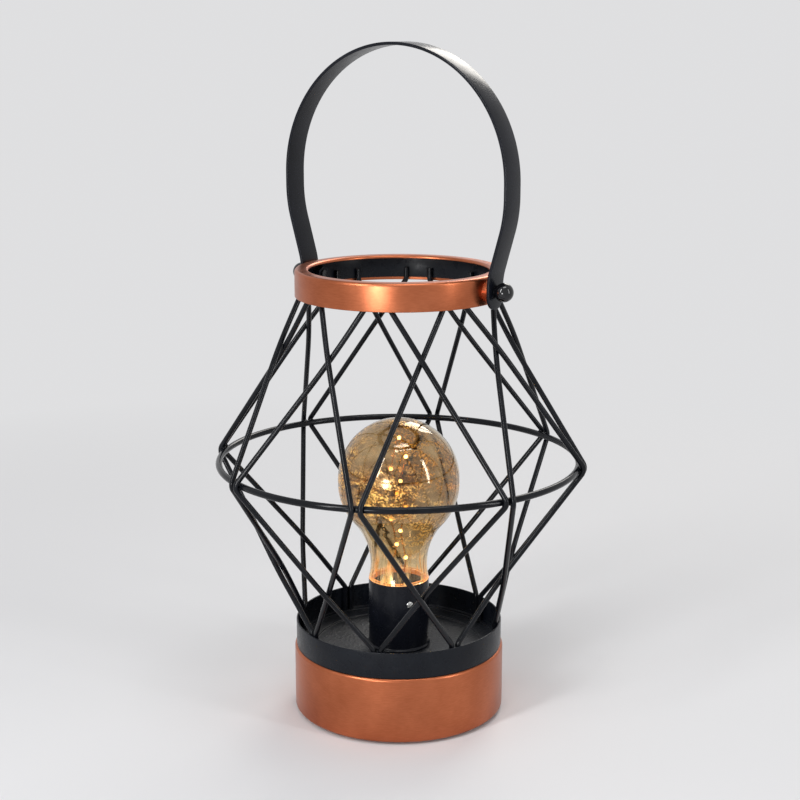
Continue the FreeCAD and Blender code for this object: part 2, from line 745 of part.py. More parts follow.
def nipple_nuts():
    """Return the nuts that clamp the socket and the tray on the threaded tube."""
    solids = []
    for level in nut_levels():
        nut = hexagon(NIPPLE_NUT_FLATS, V(0, 0, level), NIPPLE_NUT_H, UP)
        solids.append(nut.cut(post(NIPPLE_R + SEAT_GAP, V(0, 0, level), NIPPLE_NUT_H)))
    return group(solids)


def globe_edges(inset, foot):
    """Return the bulb's profile from its top down to a foot height, moved inward by inset."""
    radius = BULB_R - inset
    flare = BULB_FLARE_R + inset
    share = radius / (radius + flare)
    rise = GLOBE_LOW_Z - NECK_WAIST_Z
    top = V(0, 0, GLOBE_HIGH_Z + radius)
    side = V(radius, 0, GLOBE_HIGH_Z)
    belt = V(radius, 0, GLOBE_LOW_Z)
    meet = V(FLARE_X * share, 0, GLOBE_LOW_Z - rise * share)
    foot_x = FLARE_X - math.sqrt(flare ** 2 - (NECK_WAIST_Z - foot) ** 2)
    eighth = radius / math.sqrt(2)
    half_angle = math.atan2(rise * share, FLARE_X * share) / 2
    lower = V(radius * math.cos(half_angle), 0, GLOBE_LOW_Z - radius * math.sin(half_angle))
    edges = [Part.Arc(top, V(eighth, 0, GLOBE_HIGH_Z + eighth), side).toShape()]
    edges += line(side, belt)
    edges.append(Part.Arc(belt, lower, meet).toShape())
    edges.append(Part.Arc(meet, V(FLARE_X - flare, 0, NECK_WAIST_Z), V(foot_x, 0, foot)).toShape())
    return edges, top, V(foot_x, 0, foot)


def bulb_glass():
    """Return the glass globe and the collar that it has in the socket."""
    outer, outer_top, outer_foot = globe_edges(0, GLASS_BASE)
    inner, inner_top, inner_foot = globe_edges(GLASS, GLASS_BASE + GLASS)
    corners = [
        outer_foot,
        V(COLLAR_R, 0, GLASS_BASE),
        V(COLLAR_R, 0, COLLAR_LOW),
        V(COLLAR_R - GLASS, 0, COLLAR_LOW),
        V(COLLAR_R - GLASS, 0, GLASS_BASE + GLASS),
        inner_foot,
    ]
    edges = outer + inner + line(outer_top, inner_top)
    for start, end in zip(corners, corners[1:]):
        edges += line(start, end)
    return Part.Face(Part.Wire(Part.__sortEdges__(edges))).revolve(CENTRE, UP, TURN)


def bulb_plug():
    """Return the plug that closes the bulb and carries the light string."""
    boss_r = COLLAR_R - GLASS - TUCK_GAP
    corners = [
        (0, PLUG_LOW, 0),
        (COLLAR_R, PLUG_LOW, 0),
        (COLLAR_R, PLUG_TOP, 0),
        (boss_r, PLUG_TOP, 0),
        (boss_r, BOSS_TOP, 0),
        (0, BOSS_TOP, 0),
    ]
    return lathe(corners).cut(screw_shank(SOCKET_SCREW_R + SEAT_GAP, TUCK_GAP))


def sway(index):
    """Return a string corner's distance from the axis, which is long and short in turn."""
    return WIRE_SPREAD - WIRE_SWAY * (1 - 2 * (index % 2))


def string_points():
    """Return the light string's corners: up one leg, over the top and down the other."""
    foot = BOSS_TOP + WIRE_R
    crest = BULB_TOP - WIRE_TOP
    step = (crest - foot) / WIRE_STEPS
    first = polar(1, 0, 0)
    second = polar(1, TURN / 2 + WIRE_TWIST, 0)
    points = [first * WIRE_SPREAD + UP * foot]
    for index in range(1, WIRE_STEPS):
        points.append(first * sway(index) + UP * (foot + index * step))
    points.append(UP * crest)
    for index in range(WIRE_STEPS - 1, 0, -1):
        points.append(second * sway(index) + UP * (foot + (index - 1 / 2) * step))
    return points


def led_wire():
    """Return the light string's bent wire."""
    points = string_points()
    return tube(run(points, [WIRE_BEND_R] * (len(points) - 2)), WIRE_R)


def led_beads():
    """Return the lit drops, one on each bend of the wire."""
    points = string_points()
    wire = led_wire()
    beads = []
    for before, corner, after in zip(points, points[1:], points[2:]):
        first, middle, last = corner_arc(before, corner, after, WIRE_BEND_R)
        beads.append(Part.makeSphere(LED_R, middle).cut(wire))
    return group(beads)


# ---------------------------------------------------------------------------- cage
def crossing(near, far, degrees, side):
    """Return where a rod passes its mirror twin, moved off it to the side given."""
    turn = math.radians(degrees)
    across = V(-math.sin(turn), math.cos(turn), 0)
    share = near.dot(across) / (near.dot(across) - far.dot(across))
    meet = near + (far - near) * share
    heading = unit(far - near)
    twin = heading - across * (2 * heading.dot(across))
    away = unit(heading.cross(twin))
    if away.dot(meet) < 0:
        away = away * -1
    return meet + away * (side * (ROD_R + ROD_GAP / 2))


def rod_points(node, hand):
    """Return a rod's corners from the neck down to the tray, with the rounded points in place."""
    mark = FIRST_NODE + node * TURN / NODES
    twin = mark + hand * TURN / NODES / 2
    neck = polar(ROD_TOP_R, mark + hand * NECK_TURN, NECK_BEND_Z)
    waist = polar(ROD_WAIST_R, mark + hand * APEX_TURN, RING_Z)
    rim = polar(ROD_LOW_R, mark + hand * RIM_TURN, RIM_BEND_Z)
    above = crossing(neck, waist, twin, -hand)
    below = crossing(rim, waist, twin, hand)
    tip = V(neck.x, neck.y, ROD_TOP_Z)
    foot = V(rim.x, rim.y, ROD_LOW_Z)
    wanted = [tip, neck, above, waist, below, rim, foot]
    radii = [END_BEND_R, CROSS_BEND_R, WAIST_BEND_R, CROSS_BEND_R, END_BEND_R]
    points = list(wanted)
    for sweep in range(CORNER_SWEEPS):
        for index in range(2, len(points) - 2):
            triple = points[index - 1:index + 2]
            first, middle, last = corner_arc(*triple, radii[index - 1])
            points[index] = points[index] + (wanted[index] - middle)
    return points, radii


def cage_rod(node, hand):
    """Return one bent rod of the cage."""
    points, radii = rod_points(node, hand)
    return tube(run(points, radii), ROD_R)


def waist_ring():
    """Return the round wire at the cage's waist."""
    return Part.makeTorus(RING_R, RING_WIRE_R, V(0, 0, RING_Z), UP)


# ---------------------------------------------------------------------------- neck
def pivot_hole(radius, start, end):
    """Return a bar along the pivot axis on the right-hand side."""
    return post(radius, V(start, 0, PIVOT_Z), end - start, ACROSS)


def both_sides(shape):
    """Return a right-hand shape and its left-hand twin."""
    return [shape, mirror(shape)]


def neck_liner():
    """Return the black hoop that the rods end on."""
    corners = [
        (LINER_R, LINER_LOW, 0),
        (LINER_R, LINER_TOP, 0),
        (LINER_IN_R, LINER_TOP, 0),
        (LINER_IN_R, LINER_LOW, 0),
    ]
    return lathe(corners).cut(both_sides(pivot_hole(BOLT_R + TUCK_GAP, LINER_IN_R - BOLT_R, EAR_X)))


def neck_trim():
    """Return the copper trim over the hoop, with its rolled lip."""
    inner = NECK_R - SHEET
    corners = [
        (NECK_R, NECK_Z, 0),
        (NECK_R, NECK_TOP, NECK_ROUND),
        (NECK_LIP_R, NECK_TOP, NECK_LIP_ROLL),
        (NECK_LIP_R, NECK_TOP - NECK_LIP_ROLL, 0),
        (NECK_LIP_R + SHEET, NECK_TOP - NECK_LIP_ROLL, 0),
        (NECK_LIP_R + SHEET, NECK_TOP - SHEET, NECK_LIP_ROLL - SHEET),
        (inner, NECK_TOP - SHEET, NECK_ROUND - SHEET),
        (inner, NECK_Z, 0),
    ]
    return lathe(corners).cut(both_sides(pivot_hole(BOLT_R + TUCK_GAP, inner - BOLT_R, EAR_X)))


# ---------------------------------------------------------------------------- handle
def handle_strap():
    """Return the strap: two round ears, two leaning sides and a round crown."""
    ear = EAR_X + HANDLE_T / 2
    side = HANDLE_OUT - HANDLE_T / 2
    top = PIVOT_Z + HANDLE_RISE - HANDLE_T / 2
    shoulder = PIVOT_Z + HANDLE_SHOULDER
    bend = shoulder - (side - ear) / math.tan(math.radians(HANDLE_LEAN))
    ear_centre = PIVOT_Z - EAR_DROP
    low = ear_centre - HANDLE_W / 2
    right = [V(ear, 0, low), V(ear, 0, bend), V(side, 0, shoulder), V(side, 0, top)]
    left = [V(-point.x, 0, point.z) for point in reversed(right)]
    bends = [EAR_BEND_R, SHOULDER_BEND_R, side]
    body = strip(right + left, bends + bends[::-1], HANDLE_T, HANDLE_W, DEPTH)
    reach = EAR_X - SPACER_T
    waste = block(reach, HANDLE_OUT, -HANDLE_W, HANDLE_W, low - HANDLE_W, ear_centre)
    waste = waste.cut(post(HANDLE_W / 2, V(reach, 0, ear_centre), HANDLE_OUT - reach, ACROSS))
    hole = pivot_hole(BOLT_R + RUN_GAP, reach, HANDLE_OUT)
    return body.cut(both_sides(waste) + both_sides(hole))


def pivot_spacers():
    """Return the two spacers between the trim and the ears."""
    reach = NECK_R - SPACER_R
    face = EAR_X - RUN_GAP
    solid = pivot_hole(SPACER_R, reach, face).cut(pivot_hole(BOLT_R + TUCK_GAP, reach, face))
    wall = post(NECK_R + SEAT_GAP, V(0, 0, PIVOT_Z - 2 * SPACER_R), 4 * SPACER_R)
    return group(both_sides(solid.cut(wall)))


def nut_face():
    """Return where the pivot nut meets the liner's round wall."""
    corner = NUT_FLATS / math.sqrt(3)
    return math.sqrt(LINER_IN_R ** 2 - corner ** 2) - SEAT_GAP


def pivot_bolts():
    """Return the two bolts with their round heads."""
    end = nut_face() - NUT_H - BOLT_PROUD
    centre = EAR_OUT_X + BOLT_HEAD_OUT
    flat = EAR_OUT_X + RUN_GAP
    head = Part.makeSphere(BOLT_HEAD_R, V(centre, 0, PIVOT_Z))
    keep = pivot_hole(BOLT_HEAD_R + BOLT_R, flat, centre + BOLT_HEAD_R + BOLT_R)
    return group(both_sides(head.common(keep).fuse(pivot_hole(BOLT_R, end, centre)).removeSplitter()))


def pivot_nuts():
    """Return the two nuts inside the hoop."""
    start = nut_face() - NUT_H
    nut = hexagon(NUT_FLATS, V(start, 0, PIVOT_Z), NUT_H, ACROSS)
    return group(both_sides(nut.cut(pivot_hole(BOLT_R + SEAT_GAP, start, start + NUT_H))))


def save(name, shape):
    """Write one node of the part."""
    shape.exportStep("parts/" + name + ".step")


os.makedirs("parts", exist_ok=True)
for builder in (base_drum, tray, base_cover, posts, cover_screws, feet, battery_box, contact_plates,
                contact_springs, battery_door, circuit_board, board_screws, board_parts, lead_wires,
                switch_wires, switch_housing, switch_knob, socket_cup, socket_screw, socket_nipple,
                nipple_nuts, bulb_glass, bulb_plug, led_wire, led_beads, waist_ring, neck_liner,
                neck_trim, handle_strap, pivot_spacers, pivot_bolts, pivot_nuts):
    save(builder.__name__, builder())
for number in range(CELLS):
    save("cell_" + str(number + 1), cell(number))
for node_number in range(NODES):
    save("rod_" + str(node_number + 1) + "_left", cage_rod(node_number, 1))
    save("rod_" + str(node_number + 1) + "_right", cage_rod(node_number, -1))
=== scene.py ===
"""A copper and black cage lantern with an amber bulb, dressed piece by piece over its frame."""
import logging
import math
from dataclasses import dataclass, field
from enum import Enum

import bmesh
import bpy
from mathutils import Matrix, Vector


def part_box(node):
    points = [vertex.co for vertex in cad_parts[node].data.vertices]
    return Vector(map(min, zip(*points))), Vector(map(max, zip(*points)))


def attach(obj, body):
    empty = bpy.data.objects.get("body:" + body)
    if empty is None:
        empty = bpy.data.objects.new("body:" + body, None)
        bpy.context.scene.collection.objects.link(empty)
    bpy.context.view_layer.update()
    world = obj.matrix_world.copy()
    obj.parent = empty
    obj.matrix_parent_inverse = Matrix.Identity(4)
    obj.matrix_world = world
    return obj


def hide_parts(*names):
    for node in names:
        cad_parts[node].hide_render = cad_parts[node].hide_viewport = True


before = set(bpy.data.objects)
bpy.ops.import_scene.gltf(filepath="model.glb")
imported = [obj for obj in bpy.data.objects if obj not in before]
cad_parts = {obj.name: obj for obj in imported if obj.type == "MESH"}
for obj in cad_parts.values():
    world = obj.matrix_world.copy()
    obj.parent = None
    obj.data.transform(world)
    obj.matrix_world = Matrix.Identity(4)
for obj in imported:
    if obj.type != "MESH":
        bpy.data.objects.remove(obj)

log = logging.getLogger("lantern")

MM = 0.001
UP = Vector((0, 0, 1))
UPRIGHT = Matrix.Identity(4)
FRONT = -90.0
SOFT_EDGE = 0.18 * MM
ARM_SHARE = 0.99
ON_AXIS = 1e-6
MERGE = 1e-7
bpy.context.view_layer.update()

Point = tuple[float, float]
Span = tuple[float, float]
Corner = tuple[float, float, float]
Colour = tuple[float, float, float]
Link = bpy.types.NodeSocket


class Body(Enum):
    """The bodies that a new piece can ride on."""

    BASE = "base"
    HANDLE = "handle"


class Slot(Enum):
    """The record's material slots, one given with each new piece."""

    BLACK = "black_steel"
    COPPER = "copper_satin"
    TRAY = "tray_black"
    ZINC = "zinc_steel"
    GLASS = "amber_glass"
    WIRE = "copper_wire"
    LED = "led_glow"


# ---------------------------------------------------------------------------- small geometry
def polar(radius: float, degrees: float, height: float) -> Vector:
    """Return a point from its radius, its angle from +X and its height."""
    turn = math.radians(degrees)
    return Vector((radius * math.cos(turn), radius * math.sin(turn), height))


def box_of(node: str) -> tuple[Vector, Vector]:
    """Return a node's lowest and highest corners."""
    low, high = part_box(node)
    return Vector(low), Vector(high)


def arc_middle(before: Vector, corner: Vector, after: Vector, radius: float) -> Vector:
    """Return the middle of the arc that rounds a corner in space.

    Args:
        before: The point before the corner.
        corner: The corner.
        after: The point after the corner.
        radius: The arc's radius.

    Returns:
        The arc's middle point.
    """
    back = (before - corner).normalized()
    ahead = (after - corner).normalized()
    half = back.angle(ahead) / 2
    return corner + (back + ahead).normalized() * (radius / math.sin(half) - radius)


def arc_points(centre: Point, radius: float, start: float, end: float, steps: int) -> list[Point]:
    """Return points on an arc in an outline, both ends included, by its angles from outwards."""
    turns = [math.radians(start + (end - start) * step / steps) for step in range(steps + 1)]
    return [(centre[0] + radius * math.cos(turn), centre[1] + radius * math.sin(turn)) for turn in turns]


def corner_points(before: Point, corner: Point, after: Point, radius: float, steps: int,
                  room: float = math.inf) -> list[Point]:
    """Return points on the arc that rounds a corner in an outline.

    Args:
        before: The point before the corner.
        corner: The corner.
        after: The point after the corner.
        radius: The arc's radius, where there is room for it.
        steps: How many pieces the arc has.
        room: How far from the corner the arc may reach.

    Returns:
        The arc's points, both ends included.
    """
    middle = Vector(corner)
    back = (Vector(before) - middle).normalized()
    ahead = (Vector(after) - middle).normalized()
    half = back.angle(ahead) / 2
    reach = min(radius / math.tan(half), room)
    radius = reach * math.tan(half)
    centre = middle + (back + ahead).normalized() * (radius / math.sin(half))
    first = middle + back * reach - centre
    last = middle + ahead * reach - centre
    start = math.degrees(math.atan2(first.y, first.x))
    sweep = (math.degrees(math.atan2(last.y, last.x)) - start + 180) % 360 - 180
    return arc_points((centre.x, centre.y), radius, start, start + sweep, steps)


def rounded(corners: list[Corner], steps: int) -> list[Point]:
    """Return a closed outline with every corner rounded.

    Args:
        corners: The outline as (radius, height, rounding), in order. A rounding of 0 is a soft edge.
        steps: How many pieces each rounding has.

    Returns:
        The outline's points.
    """
    outline: list[Point] = []
    for index, (x, z, rounding) in enumerate(corners):
        before = corners[index - 1][:2]
        after = corners[(index + 1) % len(corners)][:2]
        room = ARM_SHARE * min(math.dist(before, (x, z)), math.dist(after, (x, z)))
        outline += corner_points(before, (x, z), after, rounding or SOFT_EDGE, steps, room)
    return outline


def linked(name: str, data: bpy.types.ID) -> bpy.types.Object:
    """Put new data in the scene.

    Args:
        name: The object's name.
        data: Its mesh, curve, lamp or camera.

    Returns:
        The new object.
    """
    made = bpy.data.objects.new(name, data)
    bpy.context.scene.collection.objects.link(made)
    return made


class Shape:
    """A mesh in the making, kept at the origin."""

    def __init__(self) -> None:
        """Start an empty mesh."""
        self.mesh = bmesh.new()

    def lathe(self, outline: list[Point], sides: int, turn: Matrix = UPRIGHT) -> "Shape":
        """Turn an outline about the vertical axis.

        Args:
            outline: The outline as (radius, height) points. It is closed, or starts and ends on the axis.
            sides: How many sides the turned shape has.
            turn: Where the turned shape then goes.

        Returns:
            This shape.
        """
        rings = []
        for x, z in outline:
            count = 1 if x < ON_AXIS else sides
            places = [turn @ polar(x, 360 * side / count, z) for side in range(count)]
            rings.append([self.mesh.verts.new(place) for place in places])
        for lower, upper in zip(rings, rings[1:] + rings[:1]):
            self._band(lower, upper)
        return self

    def _band(self, lower: list[bmesh.types.BMVert], upper: list[bmesh.types.BMVert]) -> None:
        """Join two rings of a lathe.

        Args:
            lower: One ring, or a single point on the axis.
            upper: The next ring, or a single point on the axis.
        """
        count = max(len(lower), len(upper))
        for side in range(count):
            after = (side + 1) % count
            low = [lower[side], lower[after]] if len(lower) > 1 else lower
            high = [upper[after], upper[side]] if len(upper) > 1 else upper
            if len(low) + len(high) > 2:
                self.mesh.faces.new(low + high)

    def loft(self, loops: list[list[Vector]]) -> "Shape":
        """Join loops of equal length, one after the other, and close both ends.

        Args:
            loops: The loops of points.

        Returns:
            This shape.
        """
        rows = [[self.mesh.verts.new(point) for point in points] for points in loops]
        for near, far in zip(rows, rows[1:]):
            for index in range(len(near)):
                self.mesh.faces.new((near[index - 1], near[index], far[index], far[index - 1]))
        self.mesh.faces.new(rows[0][::-1])
        self.mesh.faces.new(rows[-1])
        return self

    def place(self, matrix: Matrix) -> None:
        """Move everything made so far."""
        bmesh.ops.transform(self.mesh, matrix=matrix, verts=self.mesh.verts)

    def piece(self, name: str, crease: float = 32.0) -> bpy.types.Object:
        """Turn the mesh into an object with outward faces and smooth shading.

        Args:
            name: The object's name.
            crease: The angle in degrees above which an edge stays sharp.

        Returns:
            The new object.
        """
        bmesh.ops.remove_doubles(self.mesh, verts=self.mesh.verts, dist=MERGE)
        bmesh.ops.recalc_face_normals(self.mesh, faces=self.mesh.faces)
        data = bpy.data.meshes.new(name)
        self.mesh.to_mesh(data)
        self.mesh.free()
        data.shade_smooth()
        data.set_sharp_from_angle(angle=math.radians(crease))
        return linked(name, data)


# ---------------------------------------------------------------------------- node trees
def add_node(tree: bpy.types.NodeTree, kind: str, inputs: dict[str | int, object],
             **settings: object) -> bpy.types.Node:
    """Add a node to a tree.

    Args:
        tree: The tree, of a material, a world or a shape.
        kind: The node's type.
        inputs: A link or a constant for each input, by the input's name or number.
        **settings: The node's own settings.

    Returns:
        The new node.
    """
    node = tree.nodes.new(kind)
    for name, value in settings.items():
        setattr(node, name, value)
    for key, value in inputs.items():
        if isinstance(value, Link):
            tree.links.new(value, node.inputs[key])
        else:
            node.inputs[key].default_value = value
    return node


@dataclass(frozen=True)
class Cloud:
    """A cloudy pattern.

    Its scale is in repeats per metre, detail is how many finer layers it has and rough is how strong
    they are, twist bends it into swirls, and stretch scales its axes for a pattern that runs one way.
    """

    scale: float
    detail: float = 3.0
    rough: float = 0.55
    twist: float = 0.0
    stretch: Corner = (1.0, 1.0, 1.0)


@dataclass(frozen=True)
class Fade:
    """How a value is read: start to end of it becomes low to high, and stays there outside."""

    start: float
    end: float
    low: float = 0.0
    high: float = 1.0


class Nodes:
    """A short hand for one material's node tree."""

    def __init__(self, name: str) -> None:
        """Start a material that has one Principled shader.

        Args:
            name: The material's name.
        """
        self.material = bpy.data.materials.new(name)
        self.material.use_nodes = True
        self.tree = self.material.node_tree
        self.tree.nodes.clear()
        self.shader = self.add("ShaderNodeBsdfPrincipled", {})
        self.surface(self.shader.outputs["BSDF"])
        self.place = self.add("ShaderNodeTexCoord", {}).outputs["Object"]

    def add(self, kind: str, inputs: dict[str | int, object], **settings: object) -> bpy.types.Node:
        """Add a node to this material, as add_node does."""
        return add_node(self.tree, kind, inputs, **settings)

    def surface(self, shader: Link) -> None:
        """End the material with a shader."""
        output = self.tree.get_output_node("ALL") or self.add("ShaderNodeOutputMaterial", {})
        self.tree.links.new(shader, output.inputs["Surface"])

    def height(self) -> Link:
        """Return the height above the table in metres."""
        return self.add("ShaderNodeSeparateXYZ", {"Vector": self.place}).outputs["Z"]

    def along(self, way: Corner) -> Link:
        """Return the distance from the lantern's axis along a level direction, in metres."""
        dot = self.add("ShaderNodeVectorMath", {0: self.place, 1: way}, operation="DOT_PRODUCT")
        return dot.outputs["Value"]

    def away(self) -> Link:
        """Return the distance from the middle of the lantern's foot in metres."""
        return self.add("ShaderNodeVectorMath", {0: self.place}, operation="LENGTH").outputs["Value"]

    def noise(self, cloud: Cloud) -> Link:
        """Return a cloudy pattern between 0 and 1.

        Args:
            cloud: The pattern.

        Returns:
            The pattern's output.
        """
        place = self.add("ShaderNodeMapping", {"Vector": self.place, "Scale": cloud.stretch})
        inputs = {"Vector": place.outputs["Vector"], "Scale": cloud.scale, "Detail": cloud.detail,
                  "Roughness": cloud.rough, "Distortion": cloud.twist}
        return self.add("ShaderNodeTexNoise", inputs).outputs["Fac"]

    def cells(self, scale: float) -> Link:
        """Return the distance to the nearest of many scattered points."""
        return self.add("ShaderNodeTexVoronoi", {"Vector": self.place, "Scale": scale}).outputs["Distance"]

    def read(self, value: Link, fade: Fade) -> Link:
        """Return a value as a fade reads it.

        Args:
            value: The value.
            fade: How it is read.

        Returns:
            What the fade makes of it.
        """
        inputs = {"Value": value, "From Min": fade.start, "From Max": fade.end,
                  "To Min": fade.low, "To Max": fade.high}
        return self.add("ShaderNodeMapRange", inputs).outputs["Result"]

    def blend(self, share: Link, low: Colour, high: Colour) -> Link:
        """Return a colour that changes with a share.

        Args:
            share: The share, from 0 to 1.
            low: The colour at 0.
            high: The colour at 1.

        Returns:
            The colour's output.
        """
        node = self.add("ShaderNodeValToRGB", {"Fac": share})
        for element, colour in zip(node.color_ramp.elements, (low, high)):
            element.color = (*colour, 1)
        return node.outputs["Color"]

    def mix(self, share: Link, first: Link, second: Colour) -> Link:
        """Return one colour laid over another.

        Args:
            share: How much of the second colour shows, from 0 to 1.
            first: The colour below.
            second: The colour on top.

        Returns:
            The colour's output.
        """
        node = self.add("ShaderNodeMix", {0: share}, data_type="RGBA")
        below, above = [socket for socket in node.inputs if socket.type == "RGBA"]
        self.tree.links.new(first, below)
        above.default_value = (*second, 1)
        return next(socket for socket in node.outputs if socket.type == "RGBA")

    def figure(self, how: str, first: Link, second: Link | float) -> Link:
        """Return two values joined by one operation."""
        return self.add("ShaderNodeMath", {0: first, 1: second}, operation=how).outputs["Value"]

    def plus(self, first: Link, second: Link) -> Link:
        """Return the sum of two values."""
        return self.figure("ADD", first, second)

    def times(self, first: Link, second: Link | float) -> Link:
        """Return the product of two values."""
        return self.figure("MULTIPLY", first, second)

    def most(self, first: Link, second: Link) -> Link:
        """Return the larger of two values."""
        return self.figure("MAXIMUM", first, second)

    def bump(self, relief: Link, depth: float, strength: float = 1.0) -> None:
        """Raise and sink the surface by a pattern whose full depth is given in metres."""
        node = self.add("ShaderNodeBump", {"Height": relief, "Distance": depth, "Strength": strength})
        self.drive("Normal", node.outputs["Normal"])

    def drive(self, name: str, value: Link) -> None:
        """Link a pattern to one of the shader's sockets."""
        self.tree.links.new(value, self.shader.inputs[name])

    def fix(self, name: str, value: float) -> None:
        """Set one of the shader's sockets to a constant."""
        self.shader.inputs[name].default_value = value


# ---------------------------------------------------------------------------- finishes
@dataclass(frozen=True)
class Coat:
    """A surface whose tone and gloss change in soft patches, over a fine relief.

    The relief also shows in the tone and in the gloss, by its share in each. A span says which values
    of a pattern reach from one end to the other.
    """

    name: str
    dark: Colour
    light: Colour
    gloss: Span
    metal: float = 0.0
    shine: float = 0.5
    clouds: Cloud = Cloud(60.0, 4.0)
    patches: Cloud = Cloud(220.0, 5.0)
    relief: Cloud = Cloud(1500.0, 2.0)
    depth: float = 0.01 * MM
    strength: float = 1.0
    in_tone: float = 0.0
    in_gloss: float = 0.0
    tone_span: Span = (0.35, 0.7)
    gloss_span: Span = (0.35, 0.7)

    def pattern(self, nodes: Nodes) -> Link:
        """Return the relief's pattern."""
        return nodes.noise(self.relief)

    def build(self) -> bpy.types.Material:
        """Build the coat.

        Returns:
            The material.
        """
        nodes = Nodes(self.name)
        relief = self.pattern(nodes)
        tone = nodes.plus(nodes.noise(self.clouds), nodes.times(relief, self.in_tone))
        wear = nodes.plus(nodes.noise(self.patches), nodes.times(relief, self.in_gloss))
        nodes.drive("Base Color", nodes.blend(nodes.read(tone, Fade(*self.tone_span)), self.dark, self.light))
        nodes.drive("Roughness", nodes.read(wear, Fade(*self.gloss_span, *self.gloss)))
        nodes.fix("Metallic", self.metal)
        nodes.fix("Specular IOR Level", self.shine)
        nodes.bump(relief, self.depth, self.strength)
        return nodes.material


@dataclass(frozen=True)
class PlatedMetal(Coat):
    """Satin plating, with soft clouds of tone and fine brush marks that run round."""

    metal: float = 1.0
    clouds: Cloud = Cloud(38.0, 4.0)
    patches: Cloud = Cloud(150.0, 5.0)
    relief: Cloud = Cloud(2600.0, 2.0, stretch=(0.12, 0.12, 1.0))
    depth: float = 0.004 * MM
    in_tone: float = 0.5
    in_gloss: float = 0.35
    tone_span: Span = (0.5, 1.0)
    gloss_span: Span = (0.4, 0.95)


@dataclass(frozen=True)
class Paint(Coat):
    """Baked satin paint, with a fine orange peel and a few duller patches."""

    shine: float = 0.2


@dataclass(frozen=True)
class CrinklePaint(Coat):
    """Textured paint, with small rounded grains that catch the light, their tops painted lighter as a painted
    highlight.
    """

    shine: float = 0.35
    clouds: Cloud = Cloud(45.0)
    patches: Cloud = Cloud(500.0)
    grain: float = 800.0
    depth: float = 0.18 * MM
    strength: float = 0.8
    # Painted highlight: the grains' relief lightens the tone at each grain's middle.
    in_tone: float = 0.6
    tone_span: Span = (1.0, 0.5)
    gloss_span: Span = (0.3, 0.7)

    def pattern(self, nodes: Nodes) -> Link:
        """Return the grains' pattern."""
        return nodes.cells(self.grain)


@dataclass(frozen=True)
class Moulded(Coat):
    """Moulded plastic or rubber, with a fine spark-eroded grain and faint flow marks."""

    clouds: Cloud = Cloud(25.0, 5.0, stretch=(1.0, 2.5, 1.0))
    patches: Cloud = Cloud(400.0)
    relief: Cloud = Cloud(1800.0, 2.0)
    depth: float = 0.03 * MM
    tone_span: Span = (0.3, 0.7)
    gloss_span: Span = (0.3, 0.7)


